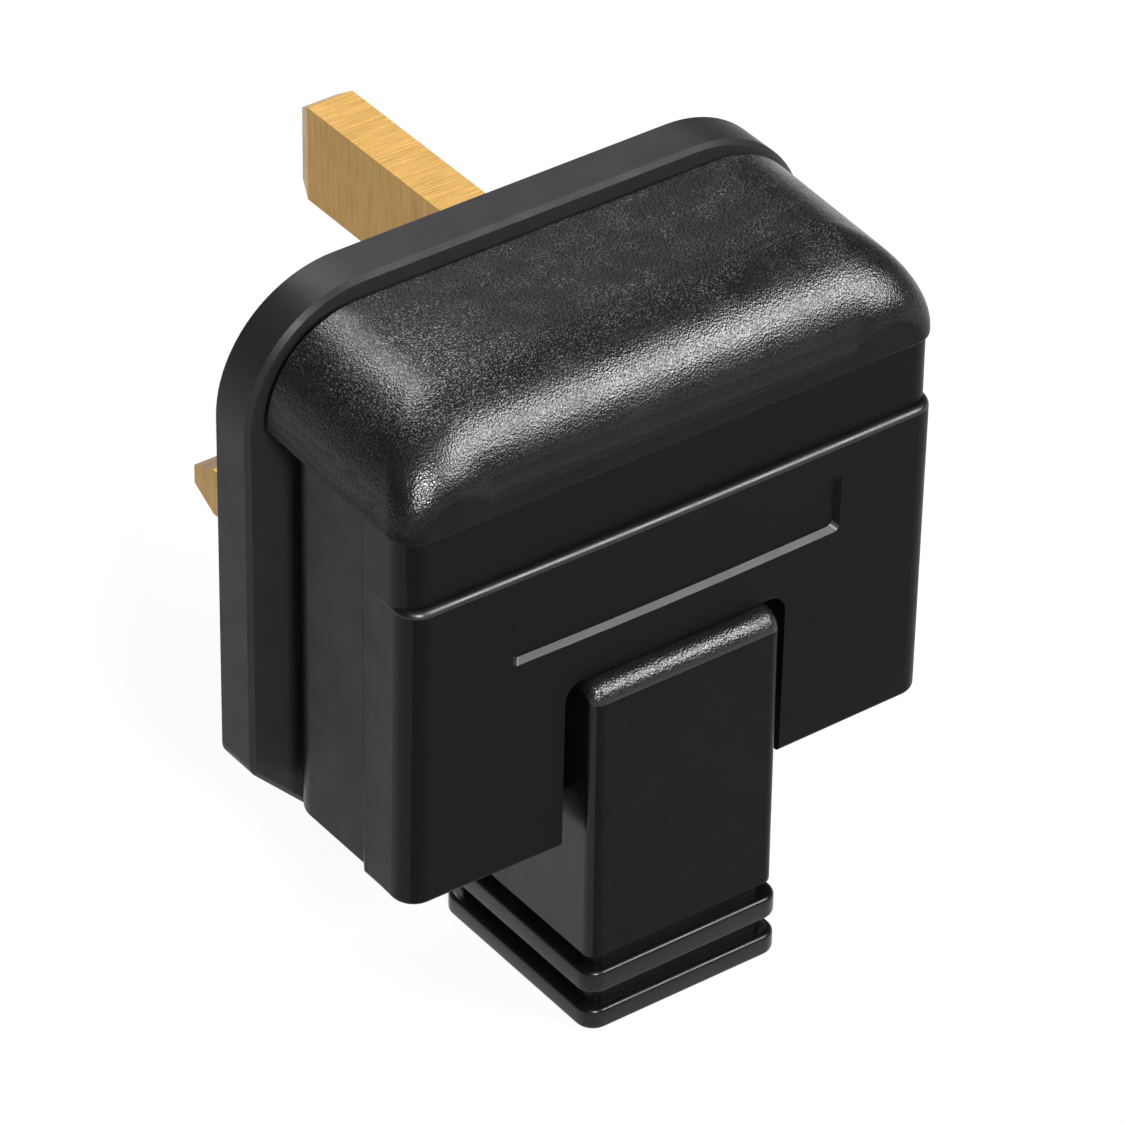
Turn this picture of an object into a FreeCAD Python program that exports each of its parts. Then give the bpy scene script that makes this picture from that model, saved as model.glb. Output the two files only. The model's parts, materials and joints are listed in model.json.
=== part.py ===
import FreeCAD, Part
import math
import os
import Sketcher

# A fused plug with three flat pins: base, hollow cover, cord guard and the brass work inside.
# X runs to the right as seen from behind the plug, +Y is the way the pins point and +Z is up.
# The origin is on the face that lies on the socket, in the middle of the pin pattern.

doc = FreeCAD.newDocument("ThreePinPlug")
sheet = doc.addObject("Spreadsheet::Sheet", "Dims")

# Driving dimensions in millimetres. Depths are counted from the socket face towards the back.
SIZES = (
    ("pin_offset", 11.115, "each pin's centre from the middle, across and up or down"),
    ("earth_width", 4.0, "earth pin across"),
    ("earth_height", 8.0, "earth pin up and down"),
    ("earth_reach", 22.5, "earth pin from the socket face to its tip"),
    ("earth_tip_length", 1.4, "bevel at the earth pin's tip, along the pin"),
    ("earth_tip_inset", 0.9, "bevel at the earth pin's tip, up and down"),
    ("line_width", 6.35, "live and neutral pins across"),
    ("line_height", 4.0, "live and neutral pins up and down"),
    ("line_reach", 18.5, "live and neutral pins from the socket face to the tip"),
    ("line_tip_length", 2.7, "bevel at the live and neutral tips, along the pin"),
    ("line_tip_inset", 1.2, "bevel at the live and neutral tips, up and down"),
    ("earth_tip_side", 0.5, "bevel at the earth pin's tip, across"),
    ("line_tip_side", 0.15, "bevel at the live and neutral tips, across"),
    ("sleeve_reach", 9.5, "insulating sleeve from the socket face"),
    ("sleeve_root", 1.5, "insulating sleeve inside the base"),
    ("sleeve_wall", 0.6, "wall of the insulating sleeve"),
    ("pin_clearance", 0.05, "room round a pin in the base, each side"),
    ("flange_width", 48.95, "base across"),
    ("flange_top", 18.83, "base above the middle"),
    ("flange_side_end", 20.4, "base's straight sides end this far below the middle"),
    ("flange_bottom", 26.5, "base below the middle"),
    ("flange_bottom_width", 37.0, "base's lower edge across"),
    ("flange_thickness", 4.2, "base plate"),
    ("flange_corner", 10.0, "upper corners of the base"),
    ("flange_low_corner", 1.6, "lower corners of the base"),
    ("flange_edge", 0.35, "chamfered edge of the base plate"),
    ("shadow_gap", 0.7, "open line between base plate and cover"),
    ("platform_inset", 1.0, "step under the cover's rim, in from the cover's outside"),
    ("cover_width", 46.2, "cover across"),
    ("cover_top", 17.9, "cover above the middle, at its rim"),
    ("cover_top_fall", 0.8, "how much lower the cover's top is at the back"),
    ("cover_bottom", 22.3, "cover below the middle"),
    ("cover_depth", 21.5, "depth of the cover's upper back face"),
    ("cap_proud", 0.3, "cover's cap out from the faces below it"),
    ("cap_foot", 9.8, "foot of the cap at its rim, above the middle"),
    ("cap_foot_round", 0.2, "rounded foot of the cap"),
    ("cover_top_corner", 7.8, "radius of the cover's upper corners"),
    ("roll_less", 0.2, "how much tighter the roll from top to back is than the upper corners"),
    ("cover_rim_round", 0.3, "rounded rim of the cap"),
    ("cover_foot_round", 0.5, "rounded foot of the cover"),
    ("cover_back_corner", 1.9, "radius of the cover's upright back corners"),
    ("cover_wall", 2.3, "wall of the cover"),
    ("ledge_step", 0.85, "lower back panel out from the upper back face, in the middle of the ledge"),
    ("panel_crown", 0.25, "how much the panel falls away towards its corners"),
    ("panel_crown_radius", 900.0, "radius of the panel's crown"),
    ("panel_flare", 0.15, "how much wider the panel is at its back corners, each side"),
    ("panel_lean", 0.35, "how much shallower the panel is at its foot"),
    ("ledge_height", 3.6, "ledge above the middle"),
    ("ledge_round", 0.6, "rounded edge of the ledge"),
    ("plate_recess_width", 29.2, "flat recess across"),
    ("plate_recess_top", 0.9, "top of the flat recess above the middle"),
    ("plate_recess_foot", 4.4, "foot of the flat recess below the middle"),
    ("plate_recess_depth", 0.45, "depth of the flat recess"),
    ("plate_recess_slope", 0.8, "lean of the recess's walls, out for each millimetre of depth"),
    ("plate_recess_round", 0.5, "corners of the flat recess"),
    ("grip_back", 15.2, "depth where the finger grips end"),
    ("grip_ramp", 1.2, "ramp at the back of the finger grips"),
    ("grip_inset", 0.75, "finger grips in from the cover's side"),
    ("grip_shoulder", 6.87, "depth of the finger grips' shoulder, before it is rounded"),
    ("grip_shoulder_round", 2.8, "radius of that shoulder"),
    ("neck_depth", 6.0, "depth where the shoulder meets the cover's neck"),
    ("neck_root_inset", 2.25, "cover's neck at the shoulder, in from the cover's side"),
    ("neck_inset", 2.55, "cover's neck at its rim, in from the cover's side"),
    ("notch_width", 19.5, "notch for the cord guard across"),
    ("notch_top", 7.8, "top of the notch below the middle"),
    ("notch_round", 1.6, "upper corners of the notch"),
    ("guard_width", 16.7, "cord guard across"),
    ("guard_depth", 23.7, "depth of the cord guard's back face"),
    ("guard_front", 5.9, "depth of the cord guard's front face"),
    ("guard_foot", 32.4, "foot of the cord guard's plain part below the middle"),
    ("guard_bottom", 38.7, "bottom of the cord guard below the middle"),
    ("guard_corner", 1.0, "upright corners of the cord guard"),
    ("guard_top_round", 1.8, "rounded top of the cord guard"),
    ("guard_foot_round", 0.3, "rounded foot of the guard's plain part"),
    ("guard_clearance", 0.15, "room between cord guard and cover"),
    ("rib_proud", 0.45, "ribs out from the guard's faces"),
    ("groove_inset", 0.5, "grooves in from the guard's faces"),
    ("rib_one_top", 33.4, "top of the first rib below the middle"),
    ("rib_one_foot", 35.3, "foot of the first rib below the middle"),
    ("rib_two_top", 37.1, "top of the last rib below the middle"),
    ("rib_edge", 0.35, "chamfered edges of the ribs"),
    ("collar_width", 24.0, "guard's collar inside the cover, across"),
    ("collar_thickness", 1.7, "guard's collar"),
    ("hood_wall", 2.0, "wall of the guard's hood"),
    ("cord_bore", 4.2, "radius of the cord's way through the guard"),
    ("cord_depth", 12.2, "depth of the cord's centre line"),
    ("saddle_width", 18.6, "cord saddle across"),
    ("saddle_channel", 8.8, "cord channel in the saddle across"),
    ("saddle_floor", 9.0, "depth of the channel's floor"),
    ("saddle_height", 3.8, "cord saddle up and down"),
    ("saddle_room", 0.45, "room between the saddle and the guard's collar"),
    ("bar_thickness", 1.3, "cord grip bar"),
    ("bar_room", 0.25, "room between the bar's screw heads and the guard's collar"),
    ("grip_screw_spacing", 14.0, "cord grip screws apart"),
    ("grip_screw_radius", 1.2, "cord grip screws' shanks"),
    ("grip_screw_length", 8.0, "cord grip screws' shanks under the bar's face"),
    ("grip_head_radius", 2.0, "cord grip screws' heads"),
    ("grip_head_height", 1.1, "cord grip screws' heads"),
    ("thread_room", 0.05, "room between a screw and its thread"),
    ("slot_width", 0.7, "screwdriver slots"),
    ("slot_depth", 0.6, "screwdriver slots"),
    ("terminal_depth", 13.5, "depth of the terminal blocks' backs"),
    ("terminal_width", 7.4, "earth and neutral terminal blocks across"),
    ("terminal_height", 7.6, "earth and neutral terminal blocks up and down"),
    ("terminal_room", 0.685, "room between the earth terminal block and the cover"),
    ("terminal_gap", 0.785, "room between the saddle and the pins' inner heads"),
    ("wire_hole", 1.6, "radius of the wire holes"),
    ("wire_depth", 8.6, "depth of the wire holes"),
    ("terminal_screw_radius", 1.6, "terminal screws' shanks"),
    ("terminal_screw_length", 3.4, "terminal screws' shanks in the block"),
    ("terminal_head_radius", 2.4, "terminal screws' heads"),
    ("terminal_head_height", 1.7, "terminal screws' heads"),
    ("strip_thickness", 2.1, "live pin's inner head and the live terminal's foot"),
    ("fuse_radius", 3.175, "fuse's end caps"),
    ("fuse_length", 25.4, "fuse overall"),
    ("fuse_cap_length", 5.5, "fuse's end caps"),
    ("fuse_cap_wall", 0.3, "wall of the fuse's end caps"),
    ("fuse_cap_end", 0.4, "end of the fuse's end caps"),
    ("clip_side_room", 0.625, "room between the fuse clips and the cover"),
    ("clip_block_room", 0.325, "room beside and above the live terminal's pillar"),
    ("fuse_up", -0.5, "fuse's centre above the middle"),
    ("clip_wall", 0.7, "spring strip of the fuse clips"),
    ("clip_length", 4.0, "fuse clips along the fuse"),
    ("clip_mouth", 4.4, "mouth of the fuse clips across"),
    ("live_block_width", 5.0, "live terminal's pillar across"),
    ("live_block_height", 6.0, "live terminal's pillar up and down"),
    ("strip_margin", 2.8, "inner strips to the right of the fuse's centre line"),
    ("cover_screw_drop", 4.0, "cover screw below the middle"),
    ("cover_screw_radius", 1.75, "cover screw's shank"),
    ("cover_screw_length", 14.0, "cover screw's shank"),
    ("cover_head_radius", 2.9, "cover screw's head"),
    ("cover_head_height", 1.7, "cover screw's head"),
    ("cover_head_sunk", 0.5, "cover screw's head below the socket face"),
    ("screw_clearance", 0.25, "room round the cover screw in the base"),
    ("boss_radius", 3.4, "screw bosses of base and cover"),
    ("base_boss_depth", 8.0, "depth of the base's screw boss"),
    ("washer_thickness", 0.7, "retaining washer"),
    ("washer_radius", 3.0, "retaining washer"),
    ("boss_gap", 0.3, "room between washer and cover boss"),
    ("tip_room", 1.8, "room past the threaded insert for the screw's tip"),
    ("insert_radius", 2.6, "threaded insert"),
    ("insert_length", 6.5, "threaded insert"),
    ("upstand_width", 1.2, "locating walls on the base"),
    ("upstand_height", 2.6, "locating walls on the base"),
    ("fit_clearance", 0.2, "room between base and cover walls"),
)
for row, (alias, number, meaning) in enumerate(SIZES, start=1):
    sheet.set("A%d" % row, meaning)
    sheet.set("B%d" % row, str(number))
    sheet.setAlias("B%d" % row, alias)
doc.recompute()

# Depths and places that several pieces share, worked out from the sheet.
RIM = "(Dims.flange_thickness + Dims.shadow_gap)"
CAVITY_BACK = "(Dims.cover_depth - Dims.cover_wall)"
CAVITY_HALF = "(Dims.cover_width / 2 - Dims.neck_inset - Dims.cover_wall)"
COLLAR_FOOT = "(Dims.cover_bottom - Dims.cover_wall - Dims.guard_clearance)"
COLLAR_HEAD = "(%s - Dims.collar_thickness)" % COLLAR_FOOT
COLLAR_BACK = "(%s - Dims.guard_clearance)" % CAVITY_BACK
COLLAR_FACE = "(%s - Dims.collar_thickness)" % COLLAR_BACK
GUARD_TOP = "(Dims.notch_top + Dims.guard_clearance)"
ROLL = "(Dims.cover_top_corner - Dims.roll_less)"
PANEL_DEPTH = "(Dims.cover_depth + Dims.ledge_step)"
PANEL_FRONT = "(Dims.cover_depth - Dims.cover_back_corner - Dims.cover_wall)"
BAR_BACK = "(%s - Dims.bar_room - Dims.grip_head_height)" % COLLAR_FACE
SADDLE_HEAD = "(%s - Dims.bar_thickness)" % BAR_BACK
SADDLE_FOOT = "(%s - Dims.saddle_room)" % COLLAR_HEAD
SADDLE_TOP = "(%s - Dims.saddle_height)" % SADDLE_FOOT
WASHER_BACK = "(Dims.base_boss_depth + Dims.washer_thickness)"
BOSS_FACE = "(%s + Dims.boss_gap)" % WASHER_BACK
COVER_SCREW_UP = "(-Dims.cover_screw_drop)"
SADDLE_MIDDLE = "(-(%s + %s) / 2)" % (SADDLE_TOP, SADDLE_FOOT)
LINE_HEAD_FOOT = "(Dims.terminal_gap - %s)" % SADDLE_TOP
EARTH_HEAD_FOOT = "(Dims.pin_offset - Dims.terminal_height / 2)"
EARTH_HEAD_TOP = "(Dims.cover_top - Dims.cover_wall - Dims.terminal_room)"
STRIP_BACK = "(%s + Dims.strip_thickness)" % RIM
CLIP_RADIUS = "(Dims.fuse_radius + Dims.clip_wall)"
FUSE_DEPTH = "(%s + %s)" % (STRIP_BACK, CLIP_RADIUS)
FUSE_ACROSS = "(%s - Dims.clip_side_room - %s)" % (CAVITY_HALF, CLIP_RADIUS)
LIVE_RIGHT = "(%s - %s - Dims.clip_block_room)" % (FUSE_ACROSS, CLIP_RADIUS)
LIVE_TOP = "(%s - Dims.clip_block_room)" % EARTH_HEAD_FOOT
FUSE_TOP = "(Dims.fuse_up + Dims.fuse_length / 2)"
FUSE_FOOT = "(Dims.fuse_up - Dims.fuse_length / 2)"

# How far cutting tools reach past what they cut, and how close two places count as the same.
MARGIN = "1"
TOLERANCE = 1e-4


def value(expression):
    """The number that an expression gives now."""
    return float(sheet.evalExpression(expression))


def bind(thing, **expressions):
    """Tie properties of an object to expressions."""
    for name, expression in expressions.items():
        thing.setExpression(name, expression)


def place(thing, x, y, z):
    """Tie an object's place to three expressions."""
    for axis, expression in zip("xyz", (x, y, z)):
        thing.setExpression("Placement.Base.%s" % axis, expression)


def box(name, across, depth, up):
    """A block from pairs of expressions: left and right, front and back depth, foot and top."""
    block = doc.addObject("Part::Box", name)
    bind(block, Length="%s - (%s)" % (across[1], across[0]),
         Width="%s - (%s)" % (depth[1], depth[0]),
         Height="%s - (%s)" % (up[1], up[0]))
    place(block, across[0], "-(%s)" % depth[1], up[0])
    return block


def rod(name, radius, depth, x, z):
    """A round bar along Y, from a front depth to a back depth."""
    bar = doc.addObject("Part::Cylinder", name)
    bar.Placement.Rotation = FreeCAD.Rotation(FreeCAD.Vector(1, 0, 0), -90)
    bind(bar, Radius=radius, Height="%s - (%s)" % (depth[1], depth[0]))
    place(bar, x, "-(%s)" % depth[1], z)
    return bar


def upright(name, radius, x, depth, up):
    """A round bar along Z, from a foot to a top."""
    bar = doc.addObject("Part::Cylinder", name)
    bind(bar, Radius=radius, Height="%s - (%s)" % (up[1], up[0]))
    place(bar, x, "-(%s)" % depth, up[0])
    return bar


def fuse(name, *pieces):
    """Several solids as one."""
    whole = doc.addObject("Part::MultiFuse", name)
    whole.Shapes = list(pieces)
    whole.Refine = True
    return whole


def cut(name, stock, *tools):
    """A solid with tools taken away from it."""
    tool = tools[0]
    if len(tools) > 1:
        tool = doc.addObject("Part::Compound", name + "_tools")
        tool.Links = list(tools)
    rest = doc.addObject("Part::Cut", name)
    rest.Base = stock
    rest.Tool = tool
    rest.Refine = True
    return rest


def new_body(name):
    """An empty body."""
    return doc.addObject("PartDesign::Body", name)


def new_sketch(body, role, name, offset="0"):
    """A sketch on one of the body's own planes, shifted along the plane's normal."""
    sketch = body.newObject("Sketcher::SketchObject", name)
    plane = next(item for item in body.Origin.OriginFeatures if item.Role == role)
    sketch.AttachmentSupport = [(plane, "")]
    sketch.MapMode = "FlatFace"
    sketch.setExpression("AttachmentOffset.Base.z", offset)
    return sketch


def pad(body, sketch, name, length, backwards=False, middle=False):
    """Pad a sketch by a length expression."""
    feature = body.newObject("PartDesign::Pad", name)
    feature.Profile = sketch
    feature.Reversed = backwards
    feature.Midplane = middle
    bind(feature, Length=length)
    body.Tip = feature
    return feature


def draw(sketch, corners):
    """Draw a closed outline. Each corner is x, y and a radius, all expressions, or None if sharp."""
    points = [FreeCAD.Vector(value(x), value(y), 0) for x, y, _ in corners]
    radii = [value(radius) if radius else 0.0 for _, _, radius in corners]
    count = len(points)
    trims = []
    turns = []
    for i in range(count):
        before = (points[i] - points[i - 1]).normalize()
        after = (points[(i + 1) % count] - points[i]).normalize()
        turn = math.atan2(before.cross(after).z, before.dot(after))
        turns.append(turn)
        trims.append(radii[i] * math.tan(abs(turn) / 2))
    for i in range(count):
        j = (i + 1) % count
        along = (points[j] - points[i]).normalize()
        sketch.addGeometry(Part.LineSegment(points[i] + along * trims[i], points[j] - along * trims[j]))
    for i, (x, y, radius) in enumerate(corners):
        line_in = (i - 1) % count
        line_out = i
        if radius:
            along = (points[i] - points[i - 1]).normalize()
            inward = FreeCAD.Vector(-along.y, along.x, 0) * math.copysign(1.0, turns[i])
            start = points[i] - along * trims[i]
            centre = start + inward * radii[i]
            first = math.atan2(start.y - centre.y, start.x - centre.x)
            ends = (first, first + turns[i]) if turns[i] > 0 else (first + turns[i], first)
            circle = Part.Circle(centre, FreeCAD.Vector(0, 0, 1), radii[i])
            arc = sketch.addGeometry(Part.ArcOfCircle(circle, *ends))
            entry, leave = (1, 2) if turns[i] > 0 else (2, 1)
            mark = sketch.addGeometry(Part.Point(points[i]), True)
            sketch.addConstraint(Sketcher.Constraint("Tangent", line_in, 2, arc, entry))
            sketch.addConstraint(Sketcher.Constraint("Tangent", arc, leave, line_out, 1))
            sketch.addConstraint(Sketcher.Constraint("PointOnObject", mark, 1, line_in))
            sketch.addConstraint(Sketcher.Constraint("PointOnObject", mark, 1, line_out))
            tied = sketch.addConstraint(Sketcher.Constraint("Radius", arc, radii[i]))
            sketch.setExpression("Constraints[%d]" % tied, radius)
        else:
            mark = line_out
            sketch.addConstraint(Sketcher.Constraint("Coincident", line_in, 2, line_out, 1))
        for kind, number, expression in (("DistanceX", points[i].x, x), ("DistanceY", points[i].y, y)):
            tied = sketch.addConstraint(Sketcher.Constraint(kind, -1, 1, mark, 1, number))
            sketch.setExpression("Constraints[%d]" % tied, expression)


def rectangle(half, low, high, radius):
    """Corners of a rounded rectangle that is centred across."""
    return [(half, high, radius), ("-" + half, high, radius),
            ("-" + half, low, radius), (half, low, radius)]


def edges_where(shape, test):
    """Numbers of the edges whose two ends and middle all pass a test."""
    found = []
    for number, edge in enumerate(shape.Edges, start=1):
        middle = edge.valueAt((edge.FirstParameter + edge.LastParameter) / 2)
        if all(test(point) for point in [vertex.Point for vertex in edge.Vertexes] + [middle]):
            found.append(number)
    return found


def near(number, expression):
    """Whether a coordinate lies where an expression says."""
    return abs(number - value(expression)) < TOLERANCE


def dress_edges(body, feature, name, kind, test, **sizes):
    """Work the edges of a body's feature that pass a test, by one kind of PartDesign dress-up."""
    doc.recompute()
    numbers = edges_where(feature.Shape, test)
    worked = body.newObject("PartDesign::" + kind, name)
    worked.Base = (feature, ["Edge%d" % number for number in numbers])
    bind(worked, **sizes)
    body.Tip = worked
    return worked


def soften(body, feature, name, radius, test):
    """Round the edges of a body's feature that pass a test."""
    return dress_edges(body, feature, name, "Fillet", test, Radius=radius)


def bevel(body, feature, name, size, test):
    """Chamfer the edges of a body's feature that pass a test."""
    return dress_edges(body, feature, name, "Chamfer", test, Size=size)


def plan(half, front, back, radius, front_radius=None):
    """Corners of an outline seen from above, centred across, with its own radius at front and back."""
    return [(half, "-" + front, front_radius), ("-" + half, "-" + front, front_radius),
            ("-" + half, "-" + back, radius), (half, "-" + back, radius)]


def slab(name, half, front, back, radius, foot, top, front_radius=None):
    """A body with an upright rounded outline, centred across, between two heights."""
    body = new_body(name)
    outline = new_sketch(body, "XY_Plane", name + "_plan", foot)
    draw(outline, plan(half, front, back, radius, front_radius))
    pad(body, outline, name + "_height", "%s - (%s)" % (top, foot))
    return body


def plate(name, half, low, high, radius, depth):
    """A body with a rounded outline in the plane of the back, centred across, between two depths."""
    body = new_body(name)
    face = new_sketch(body, "XZ_Plane", name + "_outline", depth[0])
    draw(face, rectangle(half, low, high, radius))
    pad(body, face, name + "_thickness", "%s - (%s)" % (depth[1], depth[0]))
    return body


def ring(name, width, height, wall, depth, x, z):
    """A rectangular tube along Y about a centre line."""
    shells = []
    for part, less in (("outer", "0"), ("inner", wall)):
        across = "(%s / 2 - %s)" % (width, less)
        up = "(%s / 2 - %s)" % (height, less)
        shells.append(box(name + "_" + part, ("%s - %s" % (x, across), "%s + %s" % (x, across)), depth,
                          ("%s - %s" % (z, up), "%s + %s" % (z, up))))
    return cut(name + "_tube", *shells)


def finish(thing, label):
    """Name a finished piece."""
    thing.Label = label
    return thing


def screw(name, radius, head_radius, length, head_height, slot_depth):
    """A slotted screw turned about Z: its head's underside at the origin, its shank along -Z."""
    body = new_body(name)
    profile = new_sketch(body, "XZ_Plane", name + "_profile")
    draw(profile, [("0", head_height, None), ("0", "-(%s)" % length, None), (radius, "-(%s)" % length, None),
                   (radius, "0", None), (head_radius, "0", None), (head_radius, head_height, None)])
    turned = body.newObject("PartDesign::Revolution", name + "_turned")
    turned.Profile = profile
    turned.ReferenceAxis = (profile, ["V_Axis"])
    turned.Angle = 360
    body.Tip = turned
    slot = new_sketch(body, "XY_Plane", name + "_slot", head_height)
    long_half = "(%s + %s)" % (head_radius, MARGIN)
    draw(slot, rectangle("(Dims.slot_width / 2)", "-" + long_half, long_half, None))
    groove = body.newObject("PartDesign::Pocket", name + "_groove")
    groove.Profile = slot
    bind(groove, Length=slot_depth)
    body.Tip = groove
    return body


def aim(body, x, depth, z, towards_pins=False):
    """Stand a turned piece along Y: its head's underside at a depth, its head backwards or to the pins."""
    body.Placement.Rotation = FreeCAD.Rotation(FreeCAD.Vector(1, 0, 0), -90 if towards_pins else 90)
    place(body, x, "-(%s)" % depth, z)
    return body


def blade(name, width, height, reach, tip, x, z, root):
    """A flat pin about its own centre line, from a root depth to a tip bevelled along, up and across."""
    tip_length, tip_inset, tip_side = tip
    body = new_body(name)
    shank = new_sketch(body, "XZ_Plane", name + "_section", "-(%s - %s)" % (reach, tip_length))
    draw(shank, rectangle("(%s / 2)" % width, "-%s / 2" % height, "%s / 2" % height, None))
    pad(body, shank, name + "_shank", "%s - %s + %s" % (reach, tip_length, root))
    neck = new_sketch(body, "XZ_Plane", name + "_neck", "-(%s - %s)" % (reach, tip_length))
    draw(neck, rectangle("(%s / 2)" % width, "-%s / 2" % height, "%s / 2" % height, None))
    nose = new_sketch(body, "XZ_Plane", name + "_nose", "-(%s)" % reach)
    low = "(%s / 2 - %s)" % (height, tip_inset)
    draw(nose, rectangle("(%s / 2 - %s)" % (width, tip_side), "-" + low, low, None))
    point = body.newObject("PartDesign::AdditiveLoft", name + "_point")
    point.Profile = neck
    point.Sections = [nose]
    point.Ruled = True
    body.Tip = point
    place(body, x, "0", z)
    return body


# Base: plate, step for the cover's rim, screw boss, cord saddle and locating walls in one moulding.
def make_base():
    flange = new_body("base_plate")
    half = "(Dims.flange_width / 2)"
    low_half = "(Dims.flange_bottom_width / 2)"
    face = new_sketch(flange, "XZ_Plane", "base_outline")
    draw(face, [(half, "Dims.flange_top", "Dims.flange_corner"),
                ("-" + half, "Dims.flange_top", "Dims.flange_corner"),
                ("-" + half, "-Dims.flange_side_end", "Dims.flange_low_corner"),
                ("-" + low_half, "-Dims.flange_bottom", "Dims.flange_low_corner"),
                (low_half, "-Dims.flange_bottom", "Dims.flange_low_corner"),
                (half, "-Dims.flange_side_end", "Dims.flange_low_corner")])
    thick = pad(flange, face, "base_thickness", "Dims.flange_thickness")
    bevel(flange, thick, "base_edges", "Dims.flange_edge",
          lambda p: near(p.y, "0") or near(p.y, "-Dims.flange_thickness"))

    step = plate("base_step", "(Dims.cover_width / 2 - Dims.neck_inset - Dims.platform_inset)",
                 "-(Dims.cover_bottom - Dims.platform_inset)", "(Dims.cover_top - Dims.platform_inset)",
                 "Dims.flange_corner / 2", ("Dims.flange_thickness - Dims.flange_edge", RIM))

    inside = "(%s - Dims.flange_edge)" % RIM
    rest = box("base_guard_rest", ("-Dims.guard_width / 2", "Dims.guard_width / 2"),
               ("Dims.flange_thickness - Dims.flange_edge", "Dims.guard_front"),
               ("-Dims.flange_bottom + Dims.flange_low_corner", "-(Dims.cover_bottom - Dims.cover_wall)"))
    boss = rod("base_boss", "Dims.boss_radius", (inside, "Dims.base_boss_depth"), "0", COVER_SCREW_UP)
    saddle = box("base_saddle", ("-Dims.saddle_width / 2", "Dims.saddle_width / 2"),
                 (inside, SADDLE_HEAD), ("-" + SADDLE_FOOT, "-" + SADDLE_TOP))
    wall_half = "(%s - Dims.fit_clearance)" % CAVITY_HALF
    walls = []
    for side, ends in (("left", ("-" + wall_half, "-%s + Dims.upstand_width" % wall_half)),
                       ("right", (wall_half + " - Dims.upstand_width", wall_half))):
        walls.append(box("base_wall_" + side, ends, (inside, RIM + " + Dims.upstand_height"),
                         (COVER_SCREW_UP, "Dims.cap_foot")))
    moulding = fuse("base_moulding", flange, step, rest, boss, saddle, *walls)

    slots = []
    for name, width, height, x, z in (
            ("earth", "Dims.earth_width", "Dims.earth_height", "0", "Dims.pin_offset"),
            ("neutral", "Dims.line_width", "Dims.line_height", "-Dims.pin_offset", "-Dims.pin_offset"),
            ("live", "Dims.line_width", "Dims.line_height", "Dims.pin_offset", "-Dims.pin_offset")):
        across = "(%s / 2 + Dims.pin_clearance)" % width
        up = "(%s / 2 + Dims.pin_clearance)" % height
        slots.append(box(name + "_slot", ("%s - %s" % (x, across), "%s + %s" % (x, across)),
                         ("-" + MARGIN, RIM + " + " + MARGIN), ("%s - %s" % (z, up), "%s + %s" % (z, up))))
    channel = box("saddle_channel", ("-Dims.saddle_channel / 2", "Dims.saddle_channel / 2"),
                  ("Dims.saddle_floor", SADDLE_HEAD + " + " + MARGIN),
                  ("-%s - %s" % (SADDLE_FOOT, MARGIN), "-%s + %s" % (SADDLE_TOP, MARGIN)))
    through = rod("cover_screw_way", "Dims.cover_screw_radius + Dims.screw_clearance",
                  ("-" + MARGIN, "Dims.base_boss_depth + " + MARGIN), "0", COVER_SCREW_UP)
    sink = rod("cover_screw_sink", "Dims.cover_head_radius + Dims.screw_clearance",
               ("-" + MARGIN, "Dims.cover_head_sunk + Dims.cover_head_height"), "0", COVER_SCREW_UP)
    pilots = [rod("grip_pilot_" + side, "Dims.grip_screw_radius + Dims.thread_room",
                  (BAR_BACK + " - Dims.grip_screw_length - Dims.thread_room", SADDLE_HEAD + " + " + MARGIN),
                  sign + "Dims.grip_screw_spacing / 2", SADDLE_MIDDLE)
              for side, sign in (("left", "-"), ("right", ""))]
    finish(cut("base_solid", moulding, channel, through, sink, *slots, *pilots), "base")


# Cover: a rolled box with a proud lower panel, finger grips, a notch for the guard and a hollow inside.
def make_panel(name, inset):
    """The lower back panel, drawn about the middle of its upper edge and leant forward at its foot."""
    half = "(Dims.cover_width / 2)"
    body = new_body(name)
    outline = new_sketch(body, "XY_Plane", name + "_plan")
    front = "(%s - %s)" % (PANEL_DEPTH, PANEL_FRONT)
    corner = "(Dims.panel_crown + %s)" % inset
    wide = "(Dims.cover_width / 2 + Dims.panel_flare)"
    draw(outline, [(half, front, None), ("-" + half, front, None),
                   ("-" + wide, corner, "Dims.cover_back_corner"), ("0", inset, "Dims.panel_crown_radius"),
                   (wide, corner, "Dims.cover_back_corner")])
    height = "(Dims.ledge_height + Dims.cover_bottom)"
    pad(body, outline, name + "_pad", height, backwards=True)
    lean = math.degrees(math.atan(value("Dims.panel_lean / %s" % height)))
    body.Placement.Rotation = FreeCAD.Rotation(FreeCAD.Vector(1, 0, 0), lean)
    place(body, "0", "-" + PANEL_DEPTH, "Dims.ledge_height")
    return body


def make_grip(side, sign):
    """The space that one finger grip and the cover's neck take out of the cover's side."""
    def off(inset):
        return "%s(Dims.cover_width / 2 - (%s))" % (sign, inset)
    body = new_body("grip_space_" + side)
    outline = new_sketch(body, "XY_Plane", "grip_plan_" + side, "Dims.cap_foot + " + MARGIN)
    outside = off("-" + MARGIN)
    ramp_end = "-(Dims.grip_back + Dims.grip_ramp * (Dims.grip_inset + %s) / Dims.grip_inset)" % MARGIN
    before_rim = "-(Dims.flange_thickness - %s)" % MARGIN
    draw(outline, [(outside, ramp_end, None), (off("Dims.grip_inset"), "-Dims.grip_back", None),
                   (off("Dims.grip_inset"), "-Dims.grip_shoulder", "Dims.grip_shoulder_round"),
                   (off("Dims.neck_root_inset"), "-Dims.neck_depth", None),
                   (off("Dims.neck_inset"), "-" + RIM, None), (off("Dims.neck_inset"), before_rim, None),
                   (outside, before_rim, None)])
    height = "Dims.cap_foot + Dims.cover_bottom + 2 * " + MARGIN
    pad(body, outline, "grip_pad_" + side, height, backwards=True)
    return body


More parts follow.
